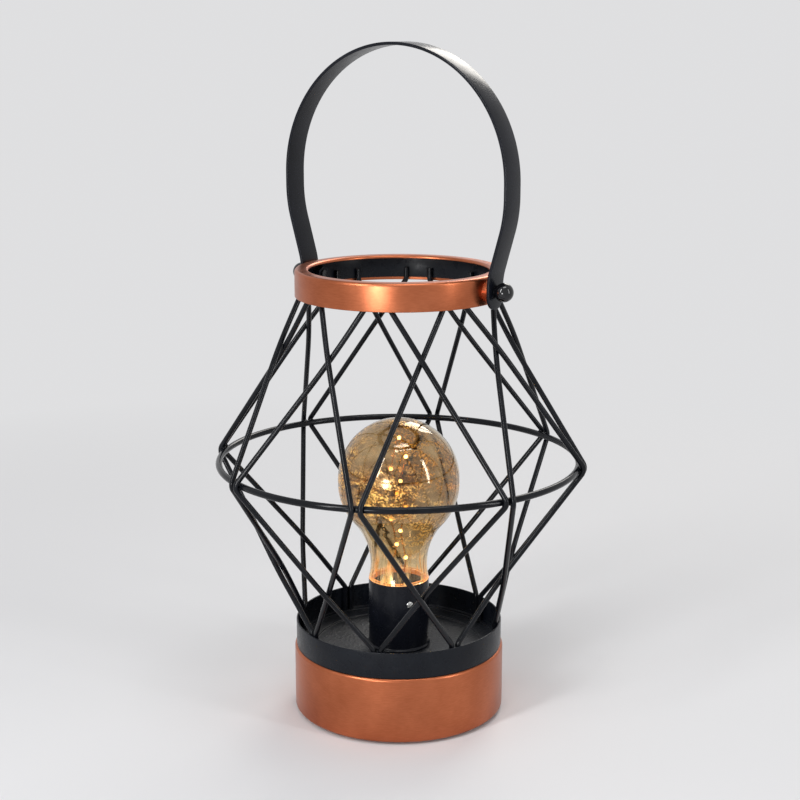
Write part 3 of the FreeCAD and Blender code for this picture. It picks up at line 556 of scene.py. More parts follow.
@dataclass(frozen=True)
class AmberGlass:
    """Thin smoked amber glass whose mirror coat is broken into clouds, swirls and gold flecks.

    The coat's flecks and streaks glow with painted glints, which stand in for the light of the string inside.
    The coat is drawn thicker on one side, where the lamps' glare falls, as a partly painted sheen; it thins
    out towards the neck and runs down it in streaks. The cut foot glows with a painted glow, which stands in
    for the light that the glass carries.
    """

    name: str
    clear: Colour = (0.9, 0.78, 0.56)
    smoke: Colour = (0.19, 0.088, 0.021)
    gold: Colour = (0.95, 0.58, 0.17)
    # Painted glow: the tone and the strength of the glass foot's glow, which stands in for light the glass
    # carries.
    glow: Colour = (1.0, 0.34, 0.09)
    # Painted glint: the tone and the strength of the glow on the coat's flecks and streaks.
    painted_glint_tone: Colour = (1.0, 0.58, 0.16)
    refraction: float = 1.46
    clouds: Cloud = Cloud(30.0)
    swirls: Cloud = Cloud(55.0, 5.0, 0.7, 1.8, (1.0, 1.0, 3.2))
    flecks: Cloud = Cloud(800.0, rough=0.6)
    runs: Cloud = Cloud(420.0, 2.0, stretch=(1.0, 1.0, 0.06))
    waves: Cloud = Cloud(60.0, 2.0)
    # Partly painted sheen: the direction towards which the coat thickens, the side where the lamps' glare
    # falls.
    sheen_side: Corner = (-0.6, -0.8, 0.0)
    foot: Span = (67.0 * MM, 68.3 * MM)
    above_neck: Fade = Fade(76.0 * MM, 100.0 * MM, 0.12)
    to_sheen_side: Fade = Fade(-9.0 * MM, 17.0 * MM, 0.3)
    up_neck: Fade = Fade(69.0 * MM, 80.0 * MM, 1.0, 0.0)
    smoked: Fade = Fade(0.4, 0.62, 0.2)
    veiled: Fade = Fade(0.42, 0.66, 0.1, 0.75)
    cloud_patches: Fade = Fade(0.46, 0.57)
    swirl_patches: Fade = Fade(0.44, 0.53)
    flecked: Fade = Fade(0.52, 0.58, 0.0, 0.95)
    streaked: Fade = Fade(0.52, 0.62, 0.0, 0.7)
    dulled: Fade = Fade(0.03, 0.6, 0.015, 0.3)
    painted_foot_glow: float = 0.3
    painted_glint_glow: float = 0.55
    fleck_relief: float = 0.06
    depth: float = 0.1 * MM

    def build(self) -> bpy.types.Material:
        """Build the glass.

        Returns:
            The material.
        """
        nodes = Nodes(self.name)
        height = nodes.height()
        clouds = nodes.noise(self.clouds)
        swirls = nodes.noise(self.swirls)
        flecks = nodes.noise(self.flecks)
        globe = nodes.read(height, self.above_neck)
        thick = nodes.times(nodes.read(clouds, self.smoked), globe)
        # Partly painted sheen: the coat grows denser towards the side where the lamps' glare falls, which
        # lightens that side.
        side = nodes.times(thick, nodes.read(nodes.along(self.sheen_side), self.to_sheen_side))
        veil = nodes.times(side, nodes.read(swirls, self.veiled))
        patches = nodes.times(nodes.read(clouds, self.cloud_patches), nodes.read(swirls, self.swirl_patches))
        spots = nodes.times(nodes.times(nodes.read(flecks, self.flecked), patches), globe)
        streaks = nodes.read(nodes.noise(self.runs), self.streaked)
        shards = nodes.most(spots, nodes.times(streaks, nodes.read(height, self.up_neck)))
        coat = nodes.most(veil, shards)
        nodes.drive("Metallic", coat)
        nodes.drive("Base Color", nodes.mix(coat, nodes.blend(thick, self.clear, self.smoke), self.gold))
        nodes.drive("Roughness", nodes.read(coat, self.dulled))
        nodes.fix("Transmission Weight", 1.0)
        nodes.fix("IOR", self.refraction)
        # Painted glow: the band at the glass foot emits light, though it is no lamp.
        foot = nodes.read(height, Fade(*self.foot, self.painted_foot_glow, 0.0))
        tint = nodes.read(height, Fade(*self.foot))
        # Painted glints: the coat's flecks and streaks glow, though no lamp is there.
        nodes.drive("Emission Color", nodes.blend(tint, self.glow, self.painted_glint_tone))
        nodes.drive("Emission Strength", nodes.most(foot, nodes.times(shards, self.painted_glint_glow)))
        nodes.bump(nodes.plus(nodes.noise(self.waves), nodes.times(flecks, self.fleck_relief)), self.depth)
        return nodes.material


@dataclass(frozen=True)
class Glow:
    """A lit drop of clear resin with a hotter core."""

    name: str
    edge: Colour
    core: Colour
    strength: float
    flicker: Cloud = Cloud(500.0, 2.0)
    gloss: float = 0.2

    def build(self) -> bpy.types.Material:
        """Build the glowing resin.

        Returns:
            The material.
        """
        nodes = Nodes(self.name)
        flicker = nodes.blend(nodes.noise(self.flicker), self.edge, self.core)
        nodes.drive("Base Color", flicker)
        nodes.drive("Emission Color", flicker)
        nodes.fix("Emission Strength", self.strength)
        nodes.fix("Roughness", self.gloss)
        return nodes.material


Finish = Coat | AmberGlass | Glow


@dataclass
class Wardrobe:
    """Every finish of the lantern, each built at its first use."""

    copper: Finish = PlatedMetal("copper plating", (0.36, 0.1, 0.042), (0.52, 0.16, 0.073), (0.27, 0.36))
    black: Finish = Paint("black wire paint", (0.003, 0.0035, 0.005), (0.008, 0.009, 0.012), (0.12, 0.2))
    strap: Finish = Paint("black strap paint", (0.004, 0.005, 0.008), (0.009, 0.01, 0.015), (0.2, 0.3))
    gloss: Finish = Paint("black bolt enamel", (0.002, 0.002, 0.003), (0.006, 0.006, 0.008), (0.04, 0.08),
                          shine=0.5)
    tray: Finish = Paint("black tray paint", (0.003, 0.004, 0.007), (0.007, 0.009, 0.013), (0.24, 0.36))
    floor: Finish = CrinklePaint("tray floor paint", (0.004, 0.005, 0.007), (0.02, 0.022, 0.027),
                                 (0.26, 0.42))
    zinc: Finish = PlatedMetal("bright zinc", (0.5, 0.5, 0.49), (0.72, 0.72, 0.7), (0.2, 0.34))
    glass: Finish = AmberGlass("amber mirrored glass")
    wire: Finish = PlatedMetal("bare copper wire", (0.6, 0.3, 0.12), (0.85, 0.48, 0.2), (0.15, 0.3))
    led: Finish = Glow("lit resin drop", (1.0, 0.42, 0.08), (1.0, 0.72, 0.32), 12.0)
    plastic: Finish = Moulded("black cover plastic", (0.02, 0.02, 0.021), (0.035, 0.035, 0.036), (0.5, 0.7))
    grey: Finish = Moulded("grey inner plastic", (0.15, 0.15, 0.155), (0.22, 0.22, 0.22), (0.45, 0.65))
    knob: Finish = Moulded("pale knob plastic", (0.5, 0.5, 0.48), (0.66, 0.66, 0.63), (0.35, 0.5))
    rubber: Finish = Moulded("foot rubber", (0.03, 0.03, 0.03), (0.055, 0.055, 0.055), (0.75, 0.9),
                             relief=Cloud(2600.0, 2.0))
    sleeve: Finish = Moulded("cell sleeve", (0.08, 0.1, 0.13), (0.13, 0.16, 0.2), (0.25, 0.4))
    contact: Finish = PlatedMetal("nickel contact", (0.6, 0.58, 0.52), (0.8, 0.78, 0.72), (0.18, 0.3))
    board: Finish = Moulded("board mask", (0.02, 0.12, 0.05), (0.05, 0.24, 0.1), (0.25, 0.4))
    chip: Finish = Moulded("chip body", (0.025, 0.025, 0.025), (0.05, 0.05, 0.05), (0.4, 0.6))
    lead: Finish = Moulded("lead insulation", (0.42, 0.03, 0.02), (0.6, 0.06, 0.04), (0.35, 0.5))

    built: dict[str, bpy.types.Material] = field(default_factory=dict)

    def get(self, finish: Finish) -> bpy.types.Material:
        """Return a finish's material.

        Args:
            finish: The finish.

        Returns:
            Its material, built at the first use.
        """
        if finish.name not in self.built:
            self.built[finish.name] = finish.build()
        return self.built[finish.name]

    def cover(self, piece: bpy.types.Object, finish: Finish) -> None:
        """Give a piece one finish all over."""
        piece.data.materials.clear()
        piece.data.materials.append(self.get(finish))

    def dress(self, piece: bpy.types.Object, slot: Slot, *nodes: str, finish: Finish | None = None,
              body: Body = Body.BASE) -> None:
        """Put a new piece on its body, in place of its nodes.

        Args:
            piece: The piece, at the origin.
            slot: The record's slot for the piece; not used.
            *nodes: The nodes that it replaces.
            finish: What it is coated with or made of, unless it is dressed already.
            body: The body that it moves with.
        """
        if finish:
            self.cover(piece, finish)
        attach(piece, body.value)
        if nodes:
            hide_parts(*nodes)
        log.info("%s: %d faces, rides on %s", piece.name, len(piece.data.polygons), body.value)

    def coat(self, finish: Finish, *nodes: str) -> None:
        """Give carried-over nodes their finish.

        Args:
            finish: What they are coated with or made of.
            *nodes: The nodes.
        """
        for node in nodes:
            self.cover(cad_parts[node], finish)
            log.info("%s: coated with %s", node, finish.name)


# ---------------------------------------------------------------------------- shapes that follow a rule
class Tree:
    """A Geometry Nodes tree that is built in code and run once for each piece."""

    def __init__(self, name: str) -> None:
        """Start a tree with a geometry input and output.

        Args:
            name: The tree's name.
        """
        self.group = bpy.data.node_groups.new(name, "GeometryNodeTree")
        for way in ("INPUT", "OUTPUT"):
            self.group.interface.new_socket("Geometry", in_out=way, socket_type="NodeSocketGeometry")
        self.start = self.group.nodes.new("NodeGroupInput")
        self.names: dict[str, str] = {}

    def size(self, name: str, value: float | int) -> Link:
        """Add a named input.

        Args:
            name: The input's name.
            value: Its starting value, a whole number for a count.

        Returns:
            The input's output in the tree.
        """
        kind = "NodeSocketInt" if isinstance(value, int) else "NodeSocketFloat"
        socket = self.group.interface.new_socket(name, in_out="INPUT", socket_type=kind)
        socket.default_value = value
        self.names[name] = socket.identifier
        return self.start.outputs[name]

    def add(self, kind: str, inputs: dict[str | int, object], **settings: object) -> bpy.types.Node:
        """Add a node to this tree, as add_node does."""
        return add_node(self.group, kind, inputs, **settings)

    def bar(self, path: Link, capped: bool) -> Link:
        """Sweep a round bar along a path.

        Args:
            path: The bar's middle line.
            capped: Whether the bar has ends to close.

        Returns:
            The bar's mesh.
        """
        profile = self.add("GeometryNodeCurvePrimitiveCircle",
                           {"Resolution": self.size("sides", 28), "Radius": self.size("radius", 1.0 * MM)})
        inputs = {"Curve": path, "Profile Curve": profile.outputs["Curve"], "Fill Caps": capped}
        return self.add("GeometryNodeCurveToMesh", inputs).outputs["Mesh"]

    def close(self, shape: Link, material: bpy.types.Material) -> "Tree":
        """End the tree with real geometry, smooth faces and its material.

        Args:
            shape: What the tree has made.
            material: The material that it gets.

        Returns:
            This tree.
        """
        real = self.add("GeometryNodeRealizeInstances", {"Geometry": shape})
        smooth = self.add("GeometryNodeSetShadeSmooth", {"Geometry": real.outputs["Geometry"]})
        inputs = {"Geometry": smooth.outputs["Geometry"], "Material": material}
        dressed = self.add("GeometryNodeSetMaterial", inputs)
        self.add("NodeGroupOutput", {"Geometry": dressed.outputs["Geometry"]})
        return self

    def run(self, carrier: bpy.types.Object, name: str, **sizes: float | int) -> bpy.types.Object:
        """Run the tree on a carrier object and return the plain mesh that it makes.

        Args:
            carrier: The object that the tree starts from, which is then removed.
            name: The new piece's name.
            **sizes: Values for the named inputs.

        Returns:
            The new piece.
        """
        modifier = carrier.modifiers.new("shape", "NODES")
        modifier.node_group = self.group
        for key, value in sizes.items():
            modifier[self.names[key]] = value
        carrier.update_tag()
        graph = bpy.context.evaluated_depsgraph_get()
        mesh = bpy.data.meshes.new_from_object(carrier.evaluated_get(graph))
        mesh.name = name
        carrier.modifiers.remove(modifier)
        bpy.data.objects.remove(carrier)
        return linked(name, mesh)


def path_carrier(name: str, points: list[Vector], bends: list[float]) -> bpy.types.Object:
    """Return a bare poly curve whose points carry the radius that each corner is rounded to.

    Args:
        name: The curve's name.
        points: The corners, first and last included.
        bends: The rounding radius at each point.

    Returns:
        The curve object.
    """
    curve = bpy.data.curves.new(name, "CURVE")
    curve.dimensions = "3D"
    spline = curve.splines.new("POLY")
    spline.points.add(len(points) - 1)
    for target, point, bend in zip(spline.points, points, bends):
        target.co = (*point, 1)
        target.radius = bend
    return linked(name, curve)


def points_carrier(name: str, points: list[Vector]) -> bpy.types.Object:
    """Return a bare mesh of loose points.

    Args:
        name: The mesh's name.
        points: The points.

    Returns:
        The mesh object.
    """
    mesh = bpy.data.meshes.new(name)
    mesh.from_pydata([tuple(point) for point in points], [], [])
    return linked(name, mesh)


def bar_tree(material: bpy.types.Material) -> Tree:
    """Return the tree that bends a round bar along a poly curve.

    Args:
        material: What the bar is made of.

    Returns:
        The tree, whose sizes are the bar's radius and sides and the steps of each bend.
    """
    tree = Tree("bent bar")
    inputs = {"Curve": tree.start.outputs["Geometry"], "Count": tree.size("steps", 14),
              "Radius": tree.add("GeometryNodeInputRadius", {}).outputs["Radius"]}
    bent = tree.add("GeometryNodeFilletCurve", inputs, mode="POLY")
    even = tree.add("GeometryNodeSetCurveRadius", {"Curve": bent.outputs["Curve"], "Radius": 1.0})
    return tree.close(tree.bar(even.outputs["Curve"], True), material)


def hoop_tree(material: bpy.types.Material) -> Tree:
    """Return the tree that makes a level round hoop.

    Args:
        material: What the hoop is made of.

    Returns:
        The tree, whose sizes are the hoop's span, steps and height and the bar's radius and sides.
    """
    tree = Tree("round hoop")
    circle = tree.add("GeometryNodeCurvePrimitiveCircle",
                      {"Resolution": tree.size("steps", 240), "Radius": tree.size("span", 100.0 * MM)})
    lift = tree.add("ShaderNodeCombineXYZ", {"Z": tree.size("height", 0.0)})
    hoop = tree.bar(circle.outputs["Curve"], False)
    moved = tree.add("GeometryNodeTransform", {"Geometry": hoop, "Translation": lift.outputs["Vector"]})
    return tree.close(moved.outputs["Geometry"], material)


def drop_tree(material: bpy.types.Material) -> Tree:
    """Return the tree that puts a round drop on every point.

    Args:
        material: What the drops are made of.

    Returns:
        The tree, whose sizes are the drops' radius and how finely each is divided.
    """
    tree = Tree("drops on points")
    drop = tree.add("GeometryNodeMeshIcoSphere",
                    {"Radius": tree.size("radius", 1.0 * MM), "Subdivisions": tree.size("detail", 3)})
    spread = tree.add("GeometryNodeInstanceOnPoints",
                      {"Points": tree.start.outputs["Geometry"], "Instance": drop.outputs["Mesh"]})
    return tree.close(spread.outputs["Instances"], material)


# ---------------------------------------------------------------------------- sub-assemblies
@dataclass
class DrumBase:
    """The copper drum, the black tray on it and what closes the drum below."""

    wardrobe: Wardrobe
    sheet: float = 0.8 * MM
    top_round: float = 1.4 * MM
    top_flat: float = 0.2 * MM
    foot_round: float = 2.0 * MM
    flange: float = 5.2 * MM
    step_radius: float = 41.4 * MM
    step: float = 0.8 * MM
    step_round: float = 0.35 * MM
    ledge_drop: float = 0.5 * MM
    rim_round: float = 0.3 * MM
    hole: float = 5.05 * MM
    seat: float = 0.02 * MM
    tray_play: float = 0.05 * MM
    floor_slope: float = 0.3
    sides: int = 192
    drum_steps: int = 8
    tray_steps: int = 5

    def __post_init__(self) -> None:
        """Read the outer sizes from the frame."""
        low, high = box_of("base_drum")
        self.radius = high.x
        self.low = low.z
        self.top = high.z
        self.lip = self.radius - self.top_round - self.top_flat
        self.ledge = self.top + self.seat
        tray_high = box_of("tray")[1]
        self.tray_radius = tray_high.x
        self.rim = tray_high.z

    def drum(self) -> None:
        """Build the drum with its rolled top edge and turned-in foot."""
        inner = self.radius - self.sheet
        foot = self.radius - self.flange
        corners = [
            (self.radius, self.low, self.foot_round),
            (self.radius, self.top, self.top_round),
            (self.lip, self.top, 0),
            (self.lip, self.top - self.sheet, 0),
            (inner, self.top - self.sheet, self.top_round - self.sheet),
            (inner, self.low + self.sheet, self.foot_round - self.sheet),
            (foot, self.low + self.sheet, 0),
            (foot, self.low, 0),
        ]
        piece = Shape().lathe(rounded(corners, self.drum_steps), self.sides).piece("drum_shell")
        self.wardrobe.dress(piece, Slot.COPPER, "base_drum", finish=self.wardrobe.copper)

    def tray(self) -> None:
        """Build the tray, with smooth paint on its band and grained paint on its floor."""
        skirt = self.lip - self.tray_play
        floor = self.ledge - self.ledge_drop
        inner_floor = floor - self.step
        inner = self.tray_radius - self.sheet
        corners = [
            (self.tray_radius, self.rim, self.rim_round),
            (self.tray_radius, self.ledge, 0),
            (skirt, self.ledge, 0),
            (skirt, floor - self.sheet, 0),
            (self.step_radius + self.sheet, floor - self.sheet, 0),
            (self.step_radius + self.sheet, inner_floor - self.sheet, 0),
            (self.hole, inner_floor - self.sheet, 0),
            (self.hole, inner_floor, 0),
            (self.step_radius, inner_floor, self.step_round),
            (self.step_radius, floor, self.step_round),
            (skirt - self.sheet, floor, self.rim_round),
            (skirt - self.sheet, self.ledge + self.sheet, self.rim_round),
            (inner, self.ledge + self.sheet, self.rim_round),
            (inner, self.rim, self.rim_round),
        ]
        piece = Shape().lathe(rounded(corners, self.tray_steps), self.sides).piece("tray_pan")
        self.wardrobe.cover(piece, self.wardrobe.tray)
        piece.data.materials.append(self.wardrobe.get(self.wardrobe.floor))
        for face in piece.data.polygons:
            on_floor = face.normal.z > self.floor_slope and face.center.z < self.ledge + self.sheet / 2
            face.material_index = 1 if on_floor else 0
        self.wardrobe.dress(piece, Slot.TRAY, "tray")

    def closure(self) -> None:
        """Coat the cover, the door, the switch, the feet and everything that the drum hides."""
        coat = self.wardrobe.coat
        coat(self.wardrobe.plastic, "base_cover", "battery_door")
        coat(self.wardrobe.grey, "battery_box", "switch_housing")
        coat(self.wardrobe.knob, "switch_knob")
        coat(self.wardrobe.rubber, "feet")
        coat(self.wardrobe.zinc, "posts", "cover_screws", "board_screws", "nipple_nuts", "socket_nipple")
        coat(self.wardrobe.sleeve, "cell_1", "cell_2", "cell_3")
        coat(self.wardrobe.contact, "contact_plates", "contact_springs")
        coat(self.wardrobe.board, "circuit_board")
        coat(self.wardrobe.chip, "board_parts")
        coat(self.wardrobe.lead, "lead_wires", "switch_wires")

    def build(self) -> None:
        """Build the whole base."""
        self.drum()
        self.tray()
        self.closure()


@dataclass
class Socket:
    """The black socket tube on the tray, with its small bright screw."""

    wardrobe: Wardrobe
    wall: float = 1.2 * MM
    floor: float = 2.0 * MM
    flare: float = 0.8 * MM
    flare_round: float = 0.4 * MM
    waist_round: float = 0.6 * MM
    rim_round: float = 0.4 * MM
    hole: float = 5.05 * MM
    seat: float = 0.02 * MM
    screw_angle: float = -34.5
    screw_rise: float = 24.9 * MM
    screw_radius: float = 1.6 * MM
    screw_height: float = 0.7 * MM
    screw_wall: float = 0.35
    shank_radius: float = 1.0 * MM
    shank_inner: float = 7.75 * MM
    slot_width: float = 0.5 * MM
    slot_depth: float = 0.4 * MM
    sides: int = 96
    steps: int = 6
    screw_sides: int = 48
    dome_steps: int = 9
    screw_crease: float = 25.0

    def __post_init__(self) -> None:
        """Read the tube's place from the frame."""
        low, high = box_of("socket_cup")
        self.low = low.z
        self.top = high.z
        self.radius = high.x - self.flare

    def cup(self) -> None:
        """Build the tube with its small flared foot, and coat the plug in it."""
        inner = self.radius - self.wall
        corners = [
            (self.radius + self.flare, self.low, 0),
            (self.radius + self.flare, self.low + self.flare, self.flare_round),
            (self.radius, self.low + 2 * self.flare, self.waist_round),
            (self.radius, self.top, self.rim_round),
            (inner, self.top, 0),
            (inner, self.low + self.floor, 0),
            (self.hole, self.low + self.floor, 0),
            (self.hole, self.low, 0),
        ]
        piece = Shape().lathe(rounded(corners, self.steps), self.sides).piece("socket_tube")
        self.wardrobe.dress(piece, Slot.BLACK, "socket_cup", finish=self.wardrobe.strap)
        self.wardrobe.coat(self.wardrobe.plastic, "bulb_plug")

    def screw(self) -> None:
        """Build the side screw: a domed head with a driving slot, on its shank."""
        seat = self.radius + self.seat
        end = self.shank_inner - seat
        outline = [(0, end), (self.shank_radius, end), (self.shank_radius, 0), (self.screw_radius, 0)]
        for cosine, sine in arc_points((0, 0), 1, 0, 90, self.dome_steps):
            rise = self.screw_wall + (1 - self.screw_wall) * sine
            outline.append((self.screw_radius * cosine, self.screw_height * rise))
        shape = Shape().lathe(outline, self.screw_sides)
        slot = self.screw_height - self.slot_depth
        for vertex in shape.mesh.verts:
            if abs(vertex.co.x) <= self.slot_width / 2 and vertex.co.z > slot:
                vertex.co.z = slot
        heading = polar(1, self.screw_angle, 0)
        turn = UP.rotation_difference(heading).to_matrix().to_4x4()
        height = self.low - self.seat + self.screw_rise
        shape.place(Matrix.Translation(heading * seat + UP * height) @ turn)
        piece = shape.piece("socket_side_screw", self.screw_crease)
        self.wardrobe.dress(piece, Slot.ZINC, "socket_screw", finish=self.wardrobe.zinc)

    def build(self) -> None:
        """Build the socket and its screw."""
        self.cup()
        self.screw()


@dataclass
class Bulb:
    """The amber globe with the light string inside it."""

    wardrobe: Wardrobe
    glass: float = 0.8 * MM
    radius: float = 30.0 * MM
    belt: float = 2.2 * MM
    neck_radius: float = 14.1 * MM
    neck_rise: float = 7.6 * MM
    flare: float = 32.1 * MM
    collar: float = 6.0 * MM
    collar_radius: float = 13.75 * MM
    crown_steps: int = 28
    belly_steps: int = 20
    flare_steps: int = 18
    sides: int = 128
    crease: float = 40.0
    wire_radius: float = 0.3 * MM
    wire_sides: int = 10
    bend: float = 1.2 * MM
    bend_steps: int = 6
    drops: int = 5
    sway: float = 1.6 * MM
    spread: float = 2.6 * MM
    under_top: float = 5.6 * MM
    twist: float = 55.0
    drop_radius: float = 0.95 * MM

    def __post_init__(self) -> None:
        """Work out the globe's centres from the glass's own box."""
        low, high = box_of("bulb_glass")
        self.top = high.z
        self.foot = low.z + self.collar
        self.waist = self.foot + self.neck_rise
        self.high_centre = self.top - self.radius
        self.low_centre = self.high_centre - self.belt
        self.flare_x = self.neck_radius + self.flare
        self.string_foot = box_of("led_wire")[0].z
        self.crest = self.top - self.under_top

    def skin(self, inset: float, foot: float) -> list[Point]:
        """Return the globe's outline from its top to its foot.

        Args:
            inset: How far inside the outer face it lies.
            foot: The height that it ends at.

        Returns:
            The outline's points.
        """
        radius = self.radius - inset
        flare = self.flare + inset
        lean = math.degrees(math.atan2(self.low_centre - self.waist, self.flare_x))
        foot_turn = math.degrees(math.asin((self.waist - foot) / flare))
        outline = arc_points((0, self.high_centre), radius, 90, 0, self.crown_steps)
        outline += arc_points((0, self.low_centre), radius, 0, -lean, self.belly_steps)
        neck = arc_points((self.flare_x, self.waist), flare, 180 - lean, 180 + foot_turn, self.flare_steps)
        return outline + neck[1:]

    def globe(self) -> None:
        """Build the glass with both of its surfaces, so that it bends light as a bulb does."""
        inner = self.foot + self.glass
        bore = self.collar_radius - self.glass
        end = self.foot - self.collar
        collar = [(self.collar_radius, self.foot), (self.collar_radius, end), (bore, end), (bore, inner)]
        outline = self.skin(0, self.foot) + collar + self.skin(self.glass, inner)[::-1]
        piece = Shape().lathe(outline, self.sides).piece("amber_globe", self.crease)
        self.wardrobe.dress(piece, Slot.GLASS, "bulb_glass", finish=self.wardrobe.glass)

    def leg(self, degrees: float, shift: float) -> list[Vector]:
        """Return the bends of one leg of the light string, from its foot up.

        Args:
            degrees: The side of the axis that the leg stands on.
            shift: How far the bends sit below their even places, as a share of their pitch.

        Returns:
            The leg's corners.
        """
        pitch = (self.crest - self.string_foot) / (self.drops + 1)
        corners = []
        for index in range(1, self.drops + 1):
            out = self.spread + (self.sway if index % 2 else -self.sway)
            corners.append(polar(out, degrees, self.string_foot + (index - shift) * pitch))
        return corners

    def string(self) -> None:
        """Build the wire, up one leg and down the other, and hang a lit drop on each of its bends."""
        points = [polar(self.spread, 0, self.string_foot)] + self.leg(0, 0)
        points += [UP * self.crest] + self.leg(180 + self.twist, 0.5)[::-1]
        bends = [0.0] + [self.bend] * (len(points) - 2) + [0.0]
        wire = bar_tree(self.wardrobe.get(self.wardrobe.wire)).run(
            path_carrier("light string path", points, bends), "light_string",
            radius=self.wire_radius, sides=self.wire_sides, steps=self.bend_steps)
        self.wardrobe.dress(wire, Slot.WIRE, "led_wire")
        middles = [arc_middle(*triple, self.bend) for triple in zip(points, points[1:], points[2:])]
        drops = drop_tree(self.wardrobe.get(self.wardrobe.led)).run(
            points_carrier("drop points", middles), "light_drops", radius=self.drop_radius)
        self.wardrobe.dress(drops, Slot.LED, "led_beads")

    def build(self) -> None:
        """Build the globe and the light string."""
        self.globe()
        self.string()


@dataclass
class Cage:
    """Eight pairs of bent rods that cross above and below the waist ring."""

    wardrobe: Wardrobe
    nodes: int = 8
    first_node: float = 22.5
    rod_radius: float = 1.3 * MM
    cross_gap: float = 0.1 * MM
    ring_wire: float = 1.6 * MM
    ring_steps: int = 240
    apex_turn: float = 1.25
    neck_turn: float = 37.6
    rim_turn: float = 43.0
    top_radius: float = 47.03 * MM
    low_radius: float = 49.18 * MM
    rim_above: float = 0.8 * MM
    top_length: float = 6.0 * MM
    seat: float = 0.02 * MM
    waist_bend: float = 4.0 * MM
    end_bend: float = 4.0 * MM
    cross_bend: float = 350.0 * MM
    bend_steps: int = 14
    sides: int = 28
    sweeps: int = 12
    weld_radius: float = 1.05 * MM
    weld_lift: float = 0.72
    weld_inset: float = 1.25

    def __post_init__(self) -> None:
        """Read the heights and the ring's size from the frame."""
        low, high = box_of("rod_1_left")
        self.low = low.z
        self.top = high.z
        ring_low, ring_high = box_of("waist_ring")
        self.ring_z = (ring_low.z + ring_high.z) / 2
        self.ring_radius = ring_high.x - self.ring_wire
        self.waist_radius = ring_high.x + self.rod_radius + self.seat
        self.neck_bend = self.top - self.top_length
        self.rim_bend = box_of("tray")[1].z + self.rim_above
        self.paint = self.wardrobe.get(self.wardrobe.black)

    def mark(self, node: int) -> float:
        """Return the angle from +X that a pair of rods has its node at."""
        return self.first_node + node * 360 / self.nodes

    def crossing(self, near: Vector, far: Vector, degrees: float, side: int) -> Vector:
        """Return where a rod passes its mirror twin.

        Args:
            near: The rod's end nearer the axis.
            far: The rod's waist point.
            degrees: The angle of the plane between the twins.
            side: 1 where this rod passes outside, -1 where it passes inside.

        Returns:
            The point that the rod's centre line goes through.
        """
        turn = math.radians(degrees)
        across = Vector((-math.sin(turn), math.cos(turn), 0))
        share = near.dot(across) / (near.dot(across) - far.dot(across))
        meet = near + (far - near) * share
        heading = (far - near).normalized()
        twin = heading - across * (2 * heading.dot(across))
        away = heading.cross(twin).normalized()
        if away.dot(meet) < 0:
            away = -away
        return meet + away * (side * (self.rod_radius + self.cross_gap / 2))

    def rod_path(self, node: int, hand: int) -> tuple[list[Vector], list[float]]:
        """Return a rod's middle line, from the neck down to the tray.

        Args:
            node: The rod's node on the waist ring.
            hand: 1 for the node's left rod, -1 for its right one.

        Returns:
            The line's corners and their roundings, such that each rounding passes where its corner was.
        """
        mark = self.mark(node)
        between = mark + hand * 180 / self.nodes
        neck = polar(self.top_radius, mark + hand * self.neck_turn, self.neck_bend)
        waist = polar(self.waist_radius, mark + hand * self.apex_turn, self.ring_z)
        rim = polar(self.low_radius, mark + hand * self.rim_turn, self.rim_bend)
        above = self.crossing(neck, waist, between, -hand)
        below = self.crossing(rim, waist, between, hand)
        tip = Vector((neck.x, neck.y, self.top))
        foot = Vector((rim.x, rim.y, self.low))
        wanted = [tip, neck, above, waist, below, rim, foot]
        bends = [0.0, self.end_bend, self.cross_bend, self.waist_bend, self.cross_bend, self.end_bend, 0.0]
        points = [point.copy() for point in wanted]
        for _ in range(self.sweeps):
            for index in range(2, len(points) - 2):
                middle = arc_middle(*points[index - 1:index + 2], bends[index])
                points[index] = points[index] + (wanted[index] - middle)
        return points, bends

    def rods(self) -> None:
        """Build the sixteen rods, each in place of its own node."""
        bars = bar_tree(self.paint)
        for node in range(self.nodes):
            for hand, side in ((1, "left"), (-1, "right")):
                name = f"rod_{node + 1}_{side}"
                carrier = path_carrier(f"path of {name}", *self.rod_path(node, hand))
                rod = bars.run(carrier, f"bent_{name}", radius=self.rod_radius, sides=self.sides,
                               steps=self.bend_steps)
                self.wardrobe.dress(rod, Slot.BLACK, name)

    def ring(self) -> None:
        """Build the waist ring as one even round wire."""
        carrier = points_carrier("ring start", [Vector()])
        ring = hoop_tree(self.paint).run(carrier, "waist_hoop", span=self.ring_radius, steps=self.ring_steps,
                                         height=self.ring_z, radius=self.ring_wire, sides=self.sides)
        self.wardrobe.dress(ring, Slot.BLACK, "waist_ring")

    def welds(self) -> None:
        """Add two small weld beads where each rod meets the ring, one above it and one below."""
        marks = []
        for node in range(self.nodes):
            for hand in (1, -1):
                for lift in (-1, 1):
                    height = self.ring_z + lift * self.ring_wire * self.weld_lift
                    radius = self.waist_radius - self.rod_radius * self.weld_inset
                    marks.append(polar(radius, self.mark(node) + hand * self.apex_turn, height))
        carrier = points_carrier("weld points", marks)
        beads = drop_tree(self.paint).run(carrier, "waist_welds", radius=self.weld_radius)
        self.wardrobe.dress(beads, Slot.BLACK)

    def build(self) -> None:
        """Build the rods, the ring and their welds."""
        self.rods()
        self.ring()
        self.welds()


